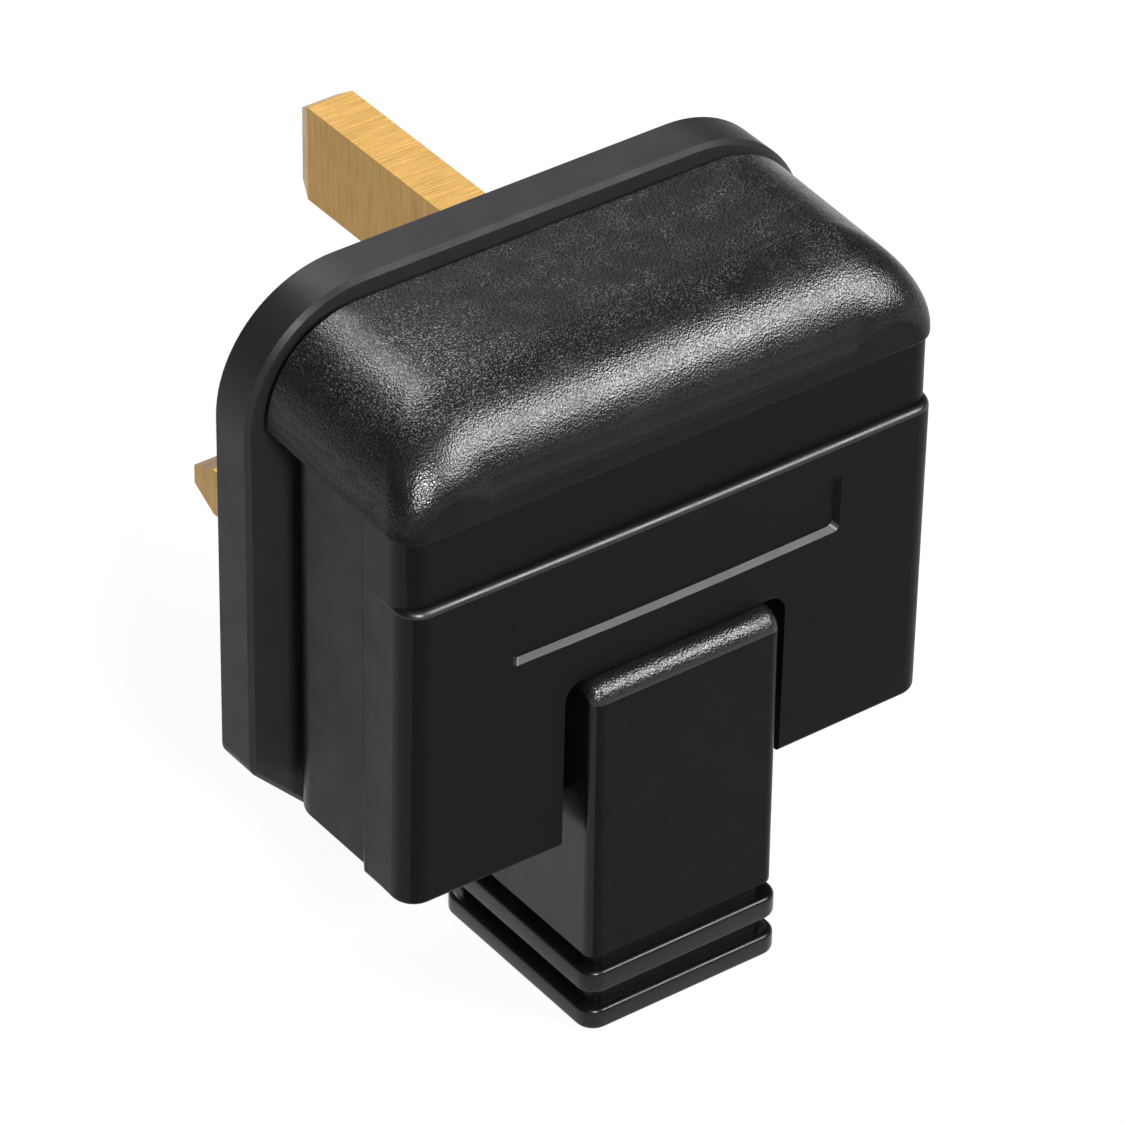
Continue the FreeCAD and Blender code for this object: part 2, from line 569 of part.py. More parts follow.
def make_cap():
    """The cover's proud cap, with a roll along its back edge that tightens round the corners to the sides."""
    half = "(Dims.cover_width / 2 + Dims.cap_proud)"
    back = "(Dims.cover_depth + Dims.cap_proud)"
    length = "(%s - %s)" % (back, RIM)
    form = new_body("cap_form")
    outline = new_sketch(form, "XZ_Plane", "cap_outline", RIM)
    draw(outline, [(half, "Dims.cover_top", "Dims.cover_top_corner"),
                   ("-" + half, "Dims.cover_top", "Dims.cover_top_corner"),
                   ("-" + half, "Dims.cap_foot", None), (half, "Dims.cap_foot", None)])
    falling = pad(form, outline, "cap_length", length)
    falling.UseCustomVector = True
    falling.Direction = FreeCAD.Vector(0, -value(length), -value("Dims.cover_top_fall"))
    falling.AlongSketchNormal = True
    doc.recompute()
    roll = value(ROLL)
    side_round = value("Dims.cover_back_corner + Dims.cap_proud")
    back_top = "Dims.cover_top - Dims.cover_top_fall"

    def on_foot(p):
        fallen = value("Dims.cover_top_fall") * (-p.y - value(RIM)) / value(length)
        return abs(p.z + fallen - value("Dims.cap_foot")) < TOLERANCE

    def round_at(p):
        return roll if near(p.z, back_top) else side_round
    rolled = []
    for number in edges_where(form.Shape, lambda p: near(p.y, "-" + back)):
        edge = form.Shape.Edges[number - 1]
        ends = [edge.valueAt(edge.FirstParameter), edge.valueAt(edge.LastParameter)]
        if not all(on_foot(p) for p in ends):
            rolled.append((number, round_at(ends[0]), round_at(ends[1])))
    rounds = doc.addObject("Part::Fillet", "cap_rounds")
    rounds.Base = form
    rounds.Edges = rolled
    doc.recompute()
    rim = doc.addObject("Part::Fillet", "cap_rim")
    rim.Base = rounds
    rim_round = value("Dims.cover_rim_round")
    foot_round = value("Dims.cap_foot_round")

    def on_rim(p):
        return near(p.y, "-" + RIM) and (near(abs(p.x), half) or not on_foot(p))

    def on_skirt(p):
        return on_foot(p) and (near(abs(p.x), half) or not near(p.y, "-" + RIM))
    rim_edges = [(number, rim_round, rim_round) for number in edges_where(rounds.Shape, on_rim)]
    foot_edges = [(number, foot_round, foot_round) for number in edges_where(rounds.Shape, on_skirt)]
    rim.Edges = rim_edges + foot_edges
    return rim


def make_cover():
    half = "(Dims.cover_width / 2)"
    body = slab("cover_body", half, RIM, "Dims.cover_depth", "Dims.cover_back_corner", "-Dims.cover_bottom",
                "Dims.cap_foot")
    soften(body, body.Tip, "cover_body_foot", "Dims.cover_foot_round",
           lambda p: near(p.z, "-Dims.cover_bottom") and (near(abs(p.x), half) or not near(p.y, "-" + RIM)))
    panel = make_panel("cover_panel", "0")
    front = "(%s - %s)" % (PANEL_DEPTH, PANEL_FRONT)

    def behind(p):
        return near(abs(p.x), half) or not near(p.y, front)
    ledge = soften(panel, panel.Tip, "cover_ledge", "Dims.ledge_round",
                   lambda p: near(p.z, "0") and behind(p))
    soften(panel, ledge, "cover_panel_foot", "Dims.cover_foot_round",
           lambda p: near(p.z, "-(Dims.ledge_height + Dims.cover_bottom)") and behind(p))
    grips = [make_grip("left", "-"), make_grip("right", "")]
    gripped = cut("cover_gripped", fuse("cover_sides", body, panel), *grips)
    outside = fuse("cover_outside", make_cap(), gripped)

    recess_face = new_body("recess_space")
    levels = []
    inwards = "-(Dims.plate_recess_depth + %s)" % MARGIN
    for name, out in (("recess_inner", inwards), ("recess_outer", MARGIN)):
        face = new_sketch(recess_face, "XZ_Plane", name, "%s + %s" % (PANEL_DEPTH, out))
        grow = "Dims.plate_recess_slope * (%s)" % out
        draw(face, rectangle("(Dims.plate_recess_width / 2 + %s)" % grow,
                             "-(Dims.plate_recess_foot + %s)" % grow, "(Dims.plate_recess_top + %s)" % grow,
                             "Dims.plate_recess_round"))
        levels.append(face)
    walls = recess_face.newObject("PartDesign::AdditiveLoft", "recess_walls")
    walls.Profile = levels[0]
    walls.Sections = levels[1:]
    walls.Ruled = True
    recess_face.Tip = walls
    recess = cut("recess_tool", recess_face, make_panel("recess_floor", "Dims.plate_recess_depth"))
    cavity = new_body("cover_hollow")
    section = new_sketch(cavity, "YZ_Plane", "cover_hollow_profile")
    hollow_top = "(Dims.cover_top - Dims.cover_wall)"
    hollow_foot = "-(Dims.cover_bottom - Dims.cover_wall)"
    draw(section, [("-(%s - %s)" % (RIM, MARGIN), hollow_foot, None),
                   ("-(%s - %s)" % (RIM, MARGIN), hollow_top, None),
                   ("-" + CAVITY_BACK, hollow_top, ROLL + " - Dims.cover_wall"),
                   ("-" + CAVITY_BACK, hollow_foot, None)])
    pad(cavity, section, "cover_hollow_width", "2 * " + CAVITY_HALF, middle=True)
    notch = plate("notch_space", "(Dims.notch_width / 2)", "-(Dims.cover_bottom + %s)" % MARGIN,
                  "-Dims.notch_top", "Dims.notch_round",
                  (CAVITY_BACK + " - " + MARGIN, PANEL_DEPTH + " + " + MARGIN))
    notch_foot = box("notch_foot_space", ("-Dims.notch_width / 2", "Dims.notch_width / 2"),
                     (RIM + " - " + MARGIN, PANEL_DEPTH + " + " + MARGIN),
                     ("-Dims.cover_bottom - 2 * " + MARGIN, hollow_foot + " + " + MARGIN))
    hollowed = cut("cover_hollowed", outside, recess, cavity, notch, notch_foot)
    boss = rod("cover_boss", "Dims.boss_radius", (BOSS_FACE, "Dims.cover_depth - Dims.cover_wall / 2"),
               "0", COVER_SCREW_UP)
    bossed = fuse("cover_bossed", hollowed, boss)
    seat = rod("insert_seat", "Dims.insert_radius",
               (BOSS_FACE + " - " + MARGIN, BOSS_FACE + " + Dims.insert_length"), "0", COVER_SCREW_UP)
    tip_way = rod("screw_tip_way", "Dims.cover_screw_radius + Dims.screw_clearance",
                  (BOSS_FACE, BOSS_FACE + " + Dims.insert_length + Dims.tip_room"), "0", COVER_SCREW_UP)
    finish(cut("cover_solid", bossed, seat, tip_way), "rear_cover")


# Cord guard: a block with ribs at its lower end, a hood at its upper end and a collar inside the cover.
def make_guard():
    half = "(Dims.guard_width / 2)"
    block = new_body("guard_block")
    side = new_sketch(block, "YZ_Plane", "guard_side_profile")
    draw(side, [("-Dims.guard_front", "-Dims.guard_foot", None),
                ("-Dims.guard_front", "-" + COLLAR_HEAD, None), ("-" + COLLAR_FACE, "-" + COLLAR_HEAD, None),
                ("-" + COLLAR_FACE, "-" + GUARD_TOP, None),
                ("-Dims.guard_depth", "-" + GUARD_TOP, "Dims.guard_top_round"),
                ("-Dims.guard_depth", "-Dims.guard_foot", None)])
    thick = pad(block, side, "guard_width_pad", "Dims.guard_width", middle=True)
    roll_start = value("Dims.guard_top_round - Dims.guard_depth") + TOLERANCE

    def on_corner(p):
        rolled = p.y < roll_start or near(p.z, "-" + GUARD_TOP)
        return near(abs(p.x), half) and (rolled or near(p.y, "-Dims.guard_front"))
    upright_edges = soften(block, thick, "guard_corners", "Dims.guard_corner", on_corner)
    soften(block, upright_edges, "guard_block_foot", "Dims.guard_foot_round",
           lambda p: near(p.z, "-Dims.guard_foot"))
    core = slab("guard_core", "(Dims.guard_width / 2 - Dims.groove_inset)",
                "(Dims.guard_front + Dims.groove_inset)", "(Dims.guard_depth - Dims.groove_inset)",
                "Dims.guard_corner", "-Dims.guard_bottom + Dims.rib_edge",
                "-Dims.guard_foot + Dims.guard_foot_round", "Dims.guard_corner")
    ribs = []
    for name, top, foot in (("guard_rib_one", "-Dims.rib_one_top", "-Dims.rib_one_foot"),
                            ("guard_rib_two", "-Dims.rib_two_top", "-Dims.guard_bottom")):
        rib = slab(name, "(Dims.guard_width / 2 + Dims.rib_proud)", "(Dims.guard_front - Dims.rib_proud)",
                   "(Dims.guard_depth + Dims.rib_proud)", "Dims.guard_corner + Dims.rib_proud", foot, top,
                   "Dims.guard_corner + Dims.rib_proud")
        bevel(rib, rib.Tip, name + "_edges", "Dims.rib_edge",
              lambda p, low=foot, high=top: near(p.z, low) or near(p.z, high))
        ribs.append(rib)
    collar_half = ("-Dims.collar_width / 2", "Dims.collar_width / 2")
    collar_foot = box("guard_collar_foot", collar_half, ("Dims.guard_front", COLLAR_BACK),
                      ("-" + COLLAR_FOOT, "-" + COLLAR_HEAD))
    collar_back = box("guard_collar_back", collar_half, (COLLAR_FACE, COLLAR_BACK),
                      ("-" + COLLAR_FOOT, "-" + GUARD_TOP))
    whole = fuse("guard_whole", block, core, *ribs, collar_foot, collar_back)
    hood_half = "(Dims.guard_width / 2 - Dims.hood_wall)"
    hollow = box("guard_hollow", ("-" + hood_half, hood_half),
                 (COLLAR_FACE + " - " + MARGIN, "Dims.guard_depth - Dims.hood_wall"),
                 ("-" + COLLAR_HEAD, "-%s - Dims.hood_wall" % GUARD_TOP))
    way = upright("cord_way", "Dims.cord_bore", "0", "Dims.cord_depth",
                  ("-Dims.guard_bottom - " + MARGIN, "-%s + %s" % (COLLAR_HEAD, MARGIN)))
    finish(cut("guard_solid", whole, hollow, way), "cord_guard")


# Pins: earth with its terminal block, neutral with its terminal block, live with the strip for the fuse.
def drilled_block(name, blade_body, block, x, z, foot, top):
    """A pin and its terminal block as one, with the wire's hole and the screw's hole."""
    joined = fuse(name + "_joined", blade_body, block) if blade_body else block
    wire = upright(name + "_wire_way", "Dims.wire_hole", x, "Dims.wire_depth",
                   (foot + " - " + MARGIN, top + " + " + MARGIN))
    thread = rod(name + "_thread", "Dims.terminal_screw_radius + Dims.thread_room",
                 ("Dims.wire_depth", "Dims.terminal_depth + " + MARGIN), x, z)
    return joined, wire, thread


def make_terminal_screw(name, x, z):
    """A slotted terminal screw whose head lies on the back of its block."""
    turned = screw(name + "_turned_piece", "Dims.terminal_screw_radius", "Dims.terminal_head_radius",
                   "Dims.terminal_screw_length", "Dims.terminal_head_height", "Dims.slot_depth")
    finish(aim(turned, x, "Dims.terminal_depth", z), name)


def make_earth_pin():
    z = "Dims.pin_offset"
    tip = ("Dims.earth_tip_length", "Dims.earth_tip_inset", "Dims.earth_tip_side")
    pin = blade("earth_blade", "Dims.earth_width", "Dims.earth_height", "Dims.earth_reach", tip, "0", z, RIM)
    middle = "((%s + %s) / 2)" % (EARTH_HEAD_FOOT, EARTH_HEAD_TOP)
    block = box("earth_block", ("-Dims.terminal_width / 2", "Dims.terminal_width / 2"),
                (RIM, "Dims.terminal_depth"), (EARTH_HEAD_FOOT, EARTH_HEAD_TOP))
    drilled = drilled_block("earth", pin, block, "0", middle, EARTH_HEAD_FOOT, EARTH_HEAD_TOP)
    finish(cut("earth_solid", *drilled), "earth_pin")
    make_terminal_screw("earth_terminal_screw", "0", middle)


def line_blade(name, x, z):
    """A live or neutral pin's blade, waisted for its insulating sleeve, and the sleeve."""
    tip = ("Dims.line_tip_length", "Dims.line_tip_inset", "Dims.line_tip_side")
    pin = blade(name + "_blade", "Dims.line_width", "Dims.line_height", "Dims.line_reach", tip, x, z, RIM)
    zone = ("-Dims.sleeve_reach", "Dims.sleeve_root")
    waist = ring(name + "_waist", "Dims.line_width", "Dims.line_height", "Dims.sleeve_wall", zone, x, z)
    sleeve = ring(name + "_sleeve", "Dims.line_width", "Dims.line_height", "Dims.sleeve_wall", zone, x, z)
    finish(sleeve, name + "_pin_sleeve")
    return cut(name + "_waisted", pin, waist)


def make_neutral_pin():
    x = "-Dims.pin_offset"
    z = "-Dims.pin_offset"
    foot = LINE_HEAD_FOOT
    top = "(%s + Dims.terminal_height)" % foot
    middle = "(%s + Dims.terminal_height / 2)" % foot
    block = box("neutral_block", (x + " - Dims.terminal_width / 2", x + " + Dims.terminal_width / 2"),
                (RIM, "Dims.terminal_depth"), (foot, top))
    pin = line_blade("neutral", x, z)
    finish(cut("neutral_solid", *drilled_block("neutral", pin, block, x, middle, foot, top)), "neutral_pin")
    make_terminal_screw("neutral_terminal_screw", x, middle)


def make_live_side():
    x = "Dims.pin_offset"
    z = "-Dims.pin_offset"
    right = "(%s + Dims.strip_margin)" % FUSE_ACROSS
    clip_space = "(Dims.fuse_cap_length - Dims.clip_length) / 2"
    strip = box("live_strip", (x + " - Dims.line_width / 2", right), (RIM, STRIP_BACK),
                (LINE_HEAD_FOOT, "%s + Dims.fuse_cap_length - %s" % (FUSE_FOOT, clip_space)))
    finish(fuse("live_solid", line_blade("live", x, z), strip), "live_pin")

    left = "(%s - Dims.live_block_width)" % LIVE_RIGHT
    foot = "(%s - Dims.live_block_height)" % LIVE_TOP
    pillar = box("live_pillar", (left, LIVE_RIGHT), (RIM, "Dims.terminal_depth"), (foot, LIVE_TOP))
    sole = box("live_sole", (left, right), (RIM, STRIP_BACK), (foot, LIVE_TOP))
    tongue = box("live_tongue", ("%s - %s" % (FUSE_ACROSS, CLIP_RADIUS), right), (RIM, STRIP_BACK),
                 (foot, "%s - %s" % (FUSE_TOP, clip_space)))
    screw_x = "(%s - Dims.live_block_width / 2)" % LIVE_RIGHT
    screw_z = "(%s - Dims.live_block_height / 2)" % LIVE_TOP
    whole = fuse("live_terminal_whole", pillar, sole, tongue)
    drilled = drilled_block("live_terminal", None, whole, screw_x, screw_z, foot, LIVE_TOP)
    finish(cut("live_terminal_solid", *drilled), "live_terminal")
    make_terminal_screw("live_terminal_screw", screw_x, screw_z)

    half_mouth = "Dims.clip_mouth / 2"
    for name, low in (("lower_fuse_clip", "%s + %s" % (FUSE_FOOT, clip_space)),
                      ("upper_fuse_clip", "%s - Dims.fuse_cap_length + %s" % (FUSE_TOP, clip_space))):
        along = (low, "%s + Dims.clip_length" % low)
        hoop = upright(name + "_hoop", CLIP_RADIUS, FUSE_ACROSS, FUSE_DEPTH, along)
        opening = ("%s - %s" % (FUSE_ACROSS, half_mouth), "%s + %s" % (FUSE_ACROSS, half_mouth))
        sole = box(name + "_sole", opening, (STRIP_BACK, STRIP_BACK + " + Dims.clip_wall"), along)
        wide = ("%s - %s" % (along[0], MARGIN), "%s + %s" % (along[1], MARGIN))
        eye = upright(name + "_eye", "Dims.fuse_radius", FUSE_ACROSS, FUSE_DEPTH, wide)
        past = "%s + %s + %s" % (FUSE_DEPTH, CLIP_RADIUS, MARGIN)
        mouth = box(name + "_mouth", opening, (FUSE_DEPTH, past), wide)
        finish(cut(name + "_solid", fuse(name + "_whole", hoop, sole), eye, mouth), name)


# Fuse: a ceramic rod between two cups.
def make_fuse():
    core = "(Dims.fuse_radius - Dims.fuse_cap_wall)"
    finish(upright("fuse_rod", core, FUSE_ACROSS, FUSE_DEPTH,
                   (FUSE_FOOT + " + Dims.fuse_cap_end", FUSE_TOP + " - Dims.fuse_cap_end")), "fuse_body")
    cups = []
    for name, cup, hollow in (
            ("fuse_cap_low", (FUSE_FOOT, FUSE_FOOT + " + Dims.fuse_cap_length"),
             (FUSE_FOOT + " + Dims.fuse_cap_end", FUSE_FOOT + " + Dims.fuse_cap_length + " + MARGIN)),
            ("fuse_cap_high", (FUSE_TOP + " - Dims.fuse_cap_length", FUSE_TOP),
             (FUSE_TOP + " - Dims.fuse_cap_length - " + MARGIN, FUSE_TOP + " - Dims.fuse_cap_end"))):
        cups.append(cut(name, upright(name + "_cup", "Dims.fuse_radius", FUSE_ACROSS, FUSE_DEPTH, cup),
                        upright(name + "_hollow", core, FUSE_ACROSS, FUSE_DEPTH, hollow)))
    caps = doc.addObject("Part::Compound", "fuse_caps")
    caps.Links = cups
    finish(caps, "fuse_end_caps")


# Cord grip: a bar across the saddle with two screws.
def make_cord_grip():
    bar = plate("grip_bar_blank", "(Dims.saddle_width / 2)", "-" + SADDLE_FOOT, "-" + SADDLE_TOP,
                "Dims.grip_screw_radius", (SADDLE_HEAD, BAR_BACK))
    holes = []
    screws = []
    for side, sign in (("left", "-"), ("right", "")):
        x = sign + "Dims.grip_screw_spacing / 2"
        holes.append(rod("grip_bar_hole_" + side, "Dims.grip_screw_radius + Dims.thread_room",
                         (SADDLE_HEAD + " - " + MARGIN, BAR_BACK + " + " + MARGIN), x, SADDLE_MIDDLE))
        turned = screw("grip_screw_" + side, "Dims.grip_screw_radius", "Dims.grip_head_radius",
                       "Dims.grip_screw_length", "Dims.grip_head_height", "Dims.slot_depth")
        screws.append(aim(turned, x, BAR_BACK, SADDLE_MIDDLE))
    finish(cut("grip_bar_solid", bar, *holes), "cord_grip_bar")
    pair = doc.addObject("Part::Compound", "grip_screw_pair")
    pair.Links = screws
    finish(pair, "cord_grip_screws")


# Cover fixing: a screw from the socket side, its retaining washer and the threaded insert in the cover.
def make_cover_fixing():
    turned = screw("cover_screw_piece", "Dims.cover_screw_radius", "Dims.cover_head_radius",
                   "Dims.cover_screw_length", "Dims.cover_head_height", "Dims.slot_depth")
    aim(turned, "0", "Dims.cover_head_sunk + Dims.cover_head_height", COVER_SCREW_UP, towards_pins=True)
    finish(turned, "cover_screw")
    bore = "Dims.cover_screw_radius + Dims.thread_room"
    for label, radius, depth in (
            ("cover_screw_washer", "Dims.washer_radius", ("Dims.base_boss_depth", WASHER_BACK)),
            ("cover_insert", "Dims.insert_radius", (BOSS_FACE, BOSS_FACE + " + Dims.insert_length"))):
        disc = rod(label + "_disc", radius, depth, "0", COVER_SCREW_UP)
        hole = rod(label + "_bore", bore, (depth[0] + " - " + MARGIN, depth[1] + " + " + MARGIN),
                   "0", COVER_SCREW_UP)
        finish(cut(label + "_solid", disc, hole), label)


make_base()
make_cover()
make_guard()
make_earth_pin()
make_neutral_pin()
make_live_side()
make_fuse()
make_cord_grip()
make_cover_fixing()
doc.recompute()

NODES = ("base", "rear_cover", "cord_guard", "earth_pin", "neutral_pin", "live_pin", "neutral_pin_sleeve",
         "live_pin_sleeve", "earth_terminal_screw", "neutral_terminal_screw", "live_terminal_screw",
         "live_terminal", "lower_fuse_clip", "upper_fuse_clip", "fuse_body", "fuse_end_caps",
         "cord_grip_bar", "cord_grip_screws", "cover_screw", "cover_screw_washer", "cover_insert")
PAIRS = ("fuse_end_caps", "cord_grip_screws")

for thing in doc.Objects:
    if "Invalid" in thing.State or "Error" in thing.State:
        raise RuntimeError("%s did not build: %s" % (thing.Name, thing.State))
os.makedirs("parts", exist_ok=True)
for label in NODES:
    shape = doc.getObjectsByLabel(label)[0].Shape
    if shape.isNull() or not shape.isValid():
        raise RuntimeError("%s has no sound shape" % label)
    if len(shape.Solids) != (2 if label in PAIRS else 1):
        raise RuntimeError("%s has %d solids" % (label, len(shape.Solids)))
    shape.exportStep("parts/%s.step" % label)
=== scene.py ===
"""A fused plug with three flat pins, dressed for a studio picture on a white ground."""

from __future__ import annotations

import json
import logging
import math
from dataclasses import dataclass, field, replace
from enum import Enum, IntEnum
from typing import Any, Sequence

import bmesh
import bpy
from mathutils import Matrix, Vector

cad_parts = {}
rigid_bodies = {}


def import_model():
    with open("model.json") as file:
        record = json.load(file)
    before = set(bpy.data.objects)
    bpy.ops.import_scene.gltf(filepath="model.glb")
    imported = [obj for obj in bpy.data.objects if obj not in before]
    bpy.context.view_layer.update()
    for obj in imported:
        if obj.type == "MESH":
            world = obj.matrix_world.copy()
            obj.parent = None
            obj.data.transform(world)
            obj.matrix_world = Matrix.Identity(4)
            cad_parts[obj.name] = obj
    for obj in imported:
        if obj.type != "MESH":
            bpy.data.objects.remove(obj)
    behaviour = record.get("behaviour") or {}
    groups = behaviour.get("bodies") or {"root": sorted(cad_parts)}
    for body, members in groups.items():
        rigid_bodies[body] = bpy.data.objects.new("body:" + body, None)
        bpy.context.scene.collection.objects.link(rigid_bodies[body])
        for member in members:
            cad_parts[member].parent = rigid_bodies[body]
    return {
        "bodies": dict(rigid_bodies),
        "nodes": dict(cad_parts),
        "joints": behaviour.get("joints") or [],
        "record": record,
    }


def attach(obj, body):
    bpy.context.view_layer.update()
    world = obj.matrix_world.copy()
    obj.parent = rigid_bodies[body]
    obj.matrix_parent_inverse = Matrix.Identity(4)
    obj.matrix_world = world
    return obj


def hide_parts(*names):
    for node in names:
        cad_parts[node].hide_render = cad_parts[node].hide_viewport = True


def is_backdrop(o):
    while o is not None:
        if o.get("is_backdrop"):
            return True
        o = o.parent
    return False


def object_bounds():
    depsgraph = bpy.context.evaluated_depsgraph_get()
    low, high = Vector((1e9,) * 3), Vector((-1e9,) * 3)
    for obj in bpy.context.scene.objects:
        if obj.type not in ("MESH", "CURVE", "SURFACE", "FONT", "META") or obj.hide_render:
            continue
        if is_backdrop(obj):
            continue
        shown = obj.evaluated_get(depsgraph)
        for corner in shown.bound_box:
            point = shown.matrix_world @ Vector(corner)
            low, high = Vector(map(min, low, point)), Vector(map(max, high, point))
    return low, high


logging.basicConfig(level=logging.INFO, format="%(levelname)s %(name)s: %(message)s")
LOG = logging.getLogger("plug")

MM = 0.001
# Distance in metres below which two points are one.
WELD = 1e-7
# Name of the mesh layer that carries a copy's smooth normals.
NORMALS = "keep"
WHITE = (1.0, 1.0, 1.0)
UP = Vector((0.0, 0.0, 1.0))

Colour = tuple[float, float, float]
Triple = tuple[float, float, float]
Span = tuple[float, float]
Pairs = tuple[tuple[float, float], ...]
Plain = tuple[tuple[str, tuple[str, ...]], ...]
# What an input of a node takes: an output socket, a number, a vector or a colour.
Value = Any


class Grain(Enum):
    """How a moulded surface was textured in its tool."""

    SATIN = "satin"
    SPARK = "spark"


class Sheen(IntEnum):
    """First material slots of a piece whose faces differ in sheen."""

    PLAIN = 0
    SIDE = 1
    EDGE = 2


@dataclass(frozen=True)
class Noise:
    """One pattern of noise.

    Args:
        size_mm: Size of the largest features in millimetres.
        detail: How many finer layers are added.
        rough: How strong the finer layers are.
    """

    size_mm: float
    detail: float
    rough: float


class NodePainter:
    """Adds nodes to one node tree and wires them.

    Args:
        tree: The tree of a material, of the world or of a modifier.
    """

    def __init__(self, tree: bpy.types.NodeTree) -> None:
        """Keep the tree."""
        self.tree = tree

    def add(self, kind: str, settings: dict[str, Any] | None = None,
            **values: Value) -> bpy.types.Node:
        """Add a node, set its options and fill or wire its inputs by name.

        Args:
            kind: The node's type name.
            settings: Options of the node itself.
            values: Inputs by their names in lower case, spaces as underscores.

        Returns:
            The new node.
        """
        node = self.tree.nodes.new(kind)
        for name, setting in (settings or {}).items():
            setattr(node, name, setting)
        sockets = {socket.name.lower().replace(" ", "_"): socket
                   for socket in reversed(node.inputs)}
        for name, value in values.items():
            self.feed(sockets[name], value)
        return node

    def feed(self, socket: bpy.types.NodeSocket, value: Value) -> None:
        """Wire a socket to another, or set its value.

        Args:
            socket: The input.
            value: An output socket, a number, a vector or a colour.
        """
        if isinstance(value, bpy.types.NodeSocket):
            self.tree.links.new(value, socket)
        elif socket.type == "RGBA" and len(value) == 3:
            socket.default_value = (*value, 1.0)
        else:
            socket.default_value = value

    def math(self, operation: str, first: Value, second: Value,
             clamp: bool = False) -> bpy.types.NodeSocket:
        """A Math node's result.

        Args:
            operation: The operation's name.
            first: First input.
            second: Second input.
            clamp: Whether the result stays between 0 and 1.

        Returns:
            The output socket.
        """
        node = self.add("ShaderNodeMath", {"operation": operation, "use_clamp": clamp})
        self.feed(node.inputs[0], first)
        self.feed(node.inputs[1], second)
        return node.outputs[0]

    def vectors(self, operation: str, first: Value, second: Value) -> bpy.types.Node:
        """A Vector Math node.

        Args:
            operation: The operation's name.
            first: First vector.
            second: Second vector.

        Returns:
            The node, with its outputs "Vector" and "Value".
        """
        node = self.add("ShaderNodeVectorMath", {"operation": operation})
        self.feed(node.inputs[0], first)
        self.feed(node.inputs[1], second)
        return node

    def ramp(self, value: Value, span: Span, start: float = 0.0,
             end: float = 1.0) -> bpy.types.NodeSocket:
        """A smooth change from one number to another while a value crosses a span.

        Args:
            value: What is read.
            span: Where the change starts and ends.
            start: The result before.
            end: The result after.

        Returns:
            The output socket.
        """
        node = self.add("ShaderNodeMapRange", {"interpolation_type": "SMOOTHSTEP"}, value=value,
                        from_min=span[0], from_max=span[1], to_min=start, to_max=end)
        return node.outputs[0]

    def place(self) -> bpy.types.NodeSocket:
        """The object coordinates, in metres."""
        return self.add("ShaderNodeTexCoord").outputs["Object"]

    def noise(self, place: bpy.types.NodeSocket, noise: Noise) -> bpy.types.NodeSocket:
        """A pattern of noise.

        Args:
            place: Coordinates.
            noise: The pattern.

        Returns:
            The noise from 0 to 1.
        """
        node = self.add("ShaderNodeTexNoise", vector=place, scale=1.0 / (noise.size_mm * MM),
                        detail=noise.detail, roughness=noise.rough)
        return node.outputs[0]

    def cells(self, place: bpy.types.NodeSocket, size_mm: float) -> bpy.types.NodeSocket:
        """Distance to the nearest of points scattered about size_mm apart, for pebbled grain."""
        node = self.add("ShaderNodeTexVoronoi", vector=place, scale=1.0 / (size_mm * MM))
        return node.outputs["Distance"]

    def stretch(self, place: bpy.types.NodeSocket, scale: Triple,
                turn: Triple) -> bpy.types.NodeSocket:
        """Coordinates turned and stretched, for marks that run one way.

        Args:
            place: Coordinates.
            scale: Factors along the three axes.
            turn: Turns about the three axes in degrees.

        Returns:
            The new coordinates.
        """
        node = self.add("ShaderNodeMapping", vector=place, scale=scale,
                        rotation=tuple(math.radians(angle) for angle in turn))
        return node.outputs[0]

    def blend(self, factor: Value, first: Value, second: Value) -> bpy.types.NodeSocket:
        """A colour between two.

        Args:
            factor: 0 for the first, 1 for the second.
            first: First colour.
            second: Second colour.

        Returns:
            The colour socket.
        """
        node = self.add("ShaderNodeMix", {"data_type": "RGBA"})
        colours = [socket for socket in node.inputs if socket.type == "RGBA"]
        self.feed(node.inputs[0], factor)
        self.feed(colours[0], first)
        self.feed(colours[1], second)
        return next(socket for socket in node.outputs if socket.type == "RGBA")

    def bump(self, height: Value, depth_mm: float, strength: float,
             normal: Value | None = None) -> bpy.types.NodeSocket:
        """A bumped normal.

        Args:
            height: Height from 0 to 1.
            depth_mm: What a height of 1 is in millimetres.
            strength: Share of the effect.
            normal: An earlier normal to add to.

        Returns:
            The normal socket.
        """
        node = self.add("ShaderNodeBump", height=height, distance=depth_mm * MM,
                        strength=strength)
        if normal is not None:
            self.feed(node.inputs["Normal"], normal)
        return node.outputs[0]


@dataclass(frozen=True)
class Finish:
    """A finish that can be made into a material.

    Args:
        name: Material name.
        first: Main colour, or the darker one of a mottled finish.
        second: Colour that the main one changes to in places.
        rough: Mean roughness.
    """

    name: str
    first: Colour
    second: Colour
    rough: float

    def build(self) -> bpy.types.Material:
        """Make the material.

        Returns:
            The new material.
        """
        material = bpy.data.materials.new(self.name)
        material.use_nodes = True
        shader = material.node_tree.nodes["Principled BSDF"]
        self.paint_on(NodePainter(material.node_tree), shader.inputs)
        LOG.info("finish %s", self.name)
        return material

    def paint_on(self, paint: NodePainter, shader: bpy.types.NodeInputs) -> None:
        """Wire the shader's inputs, which each kind of finish does in its own way."""
        raise NotImplementedError


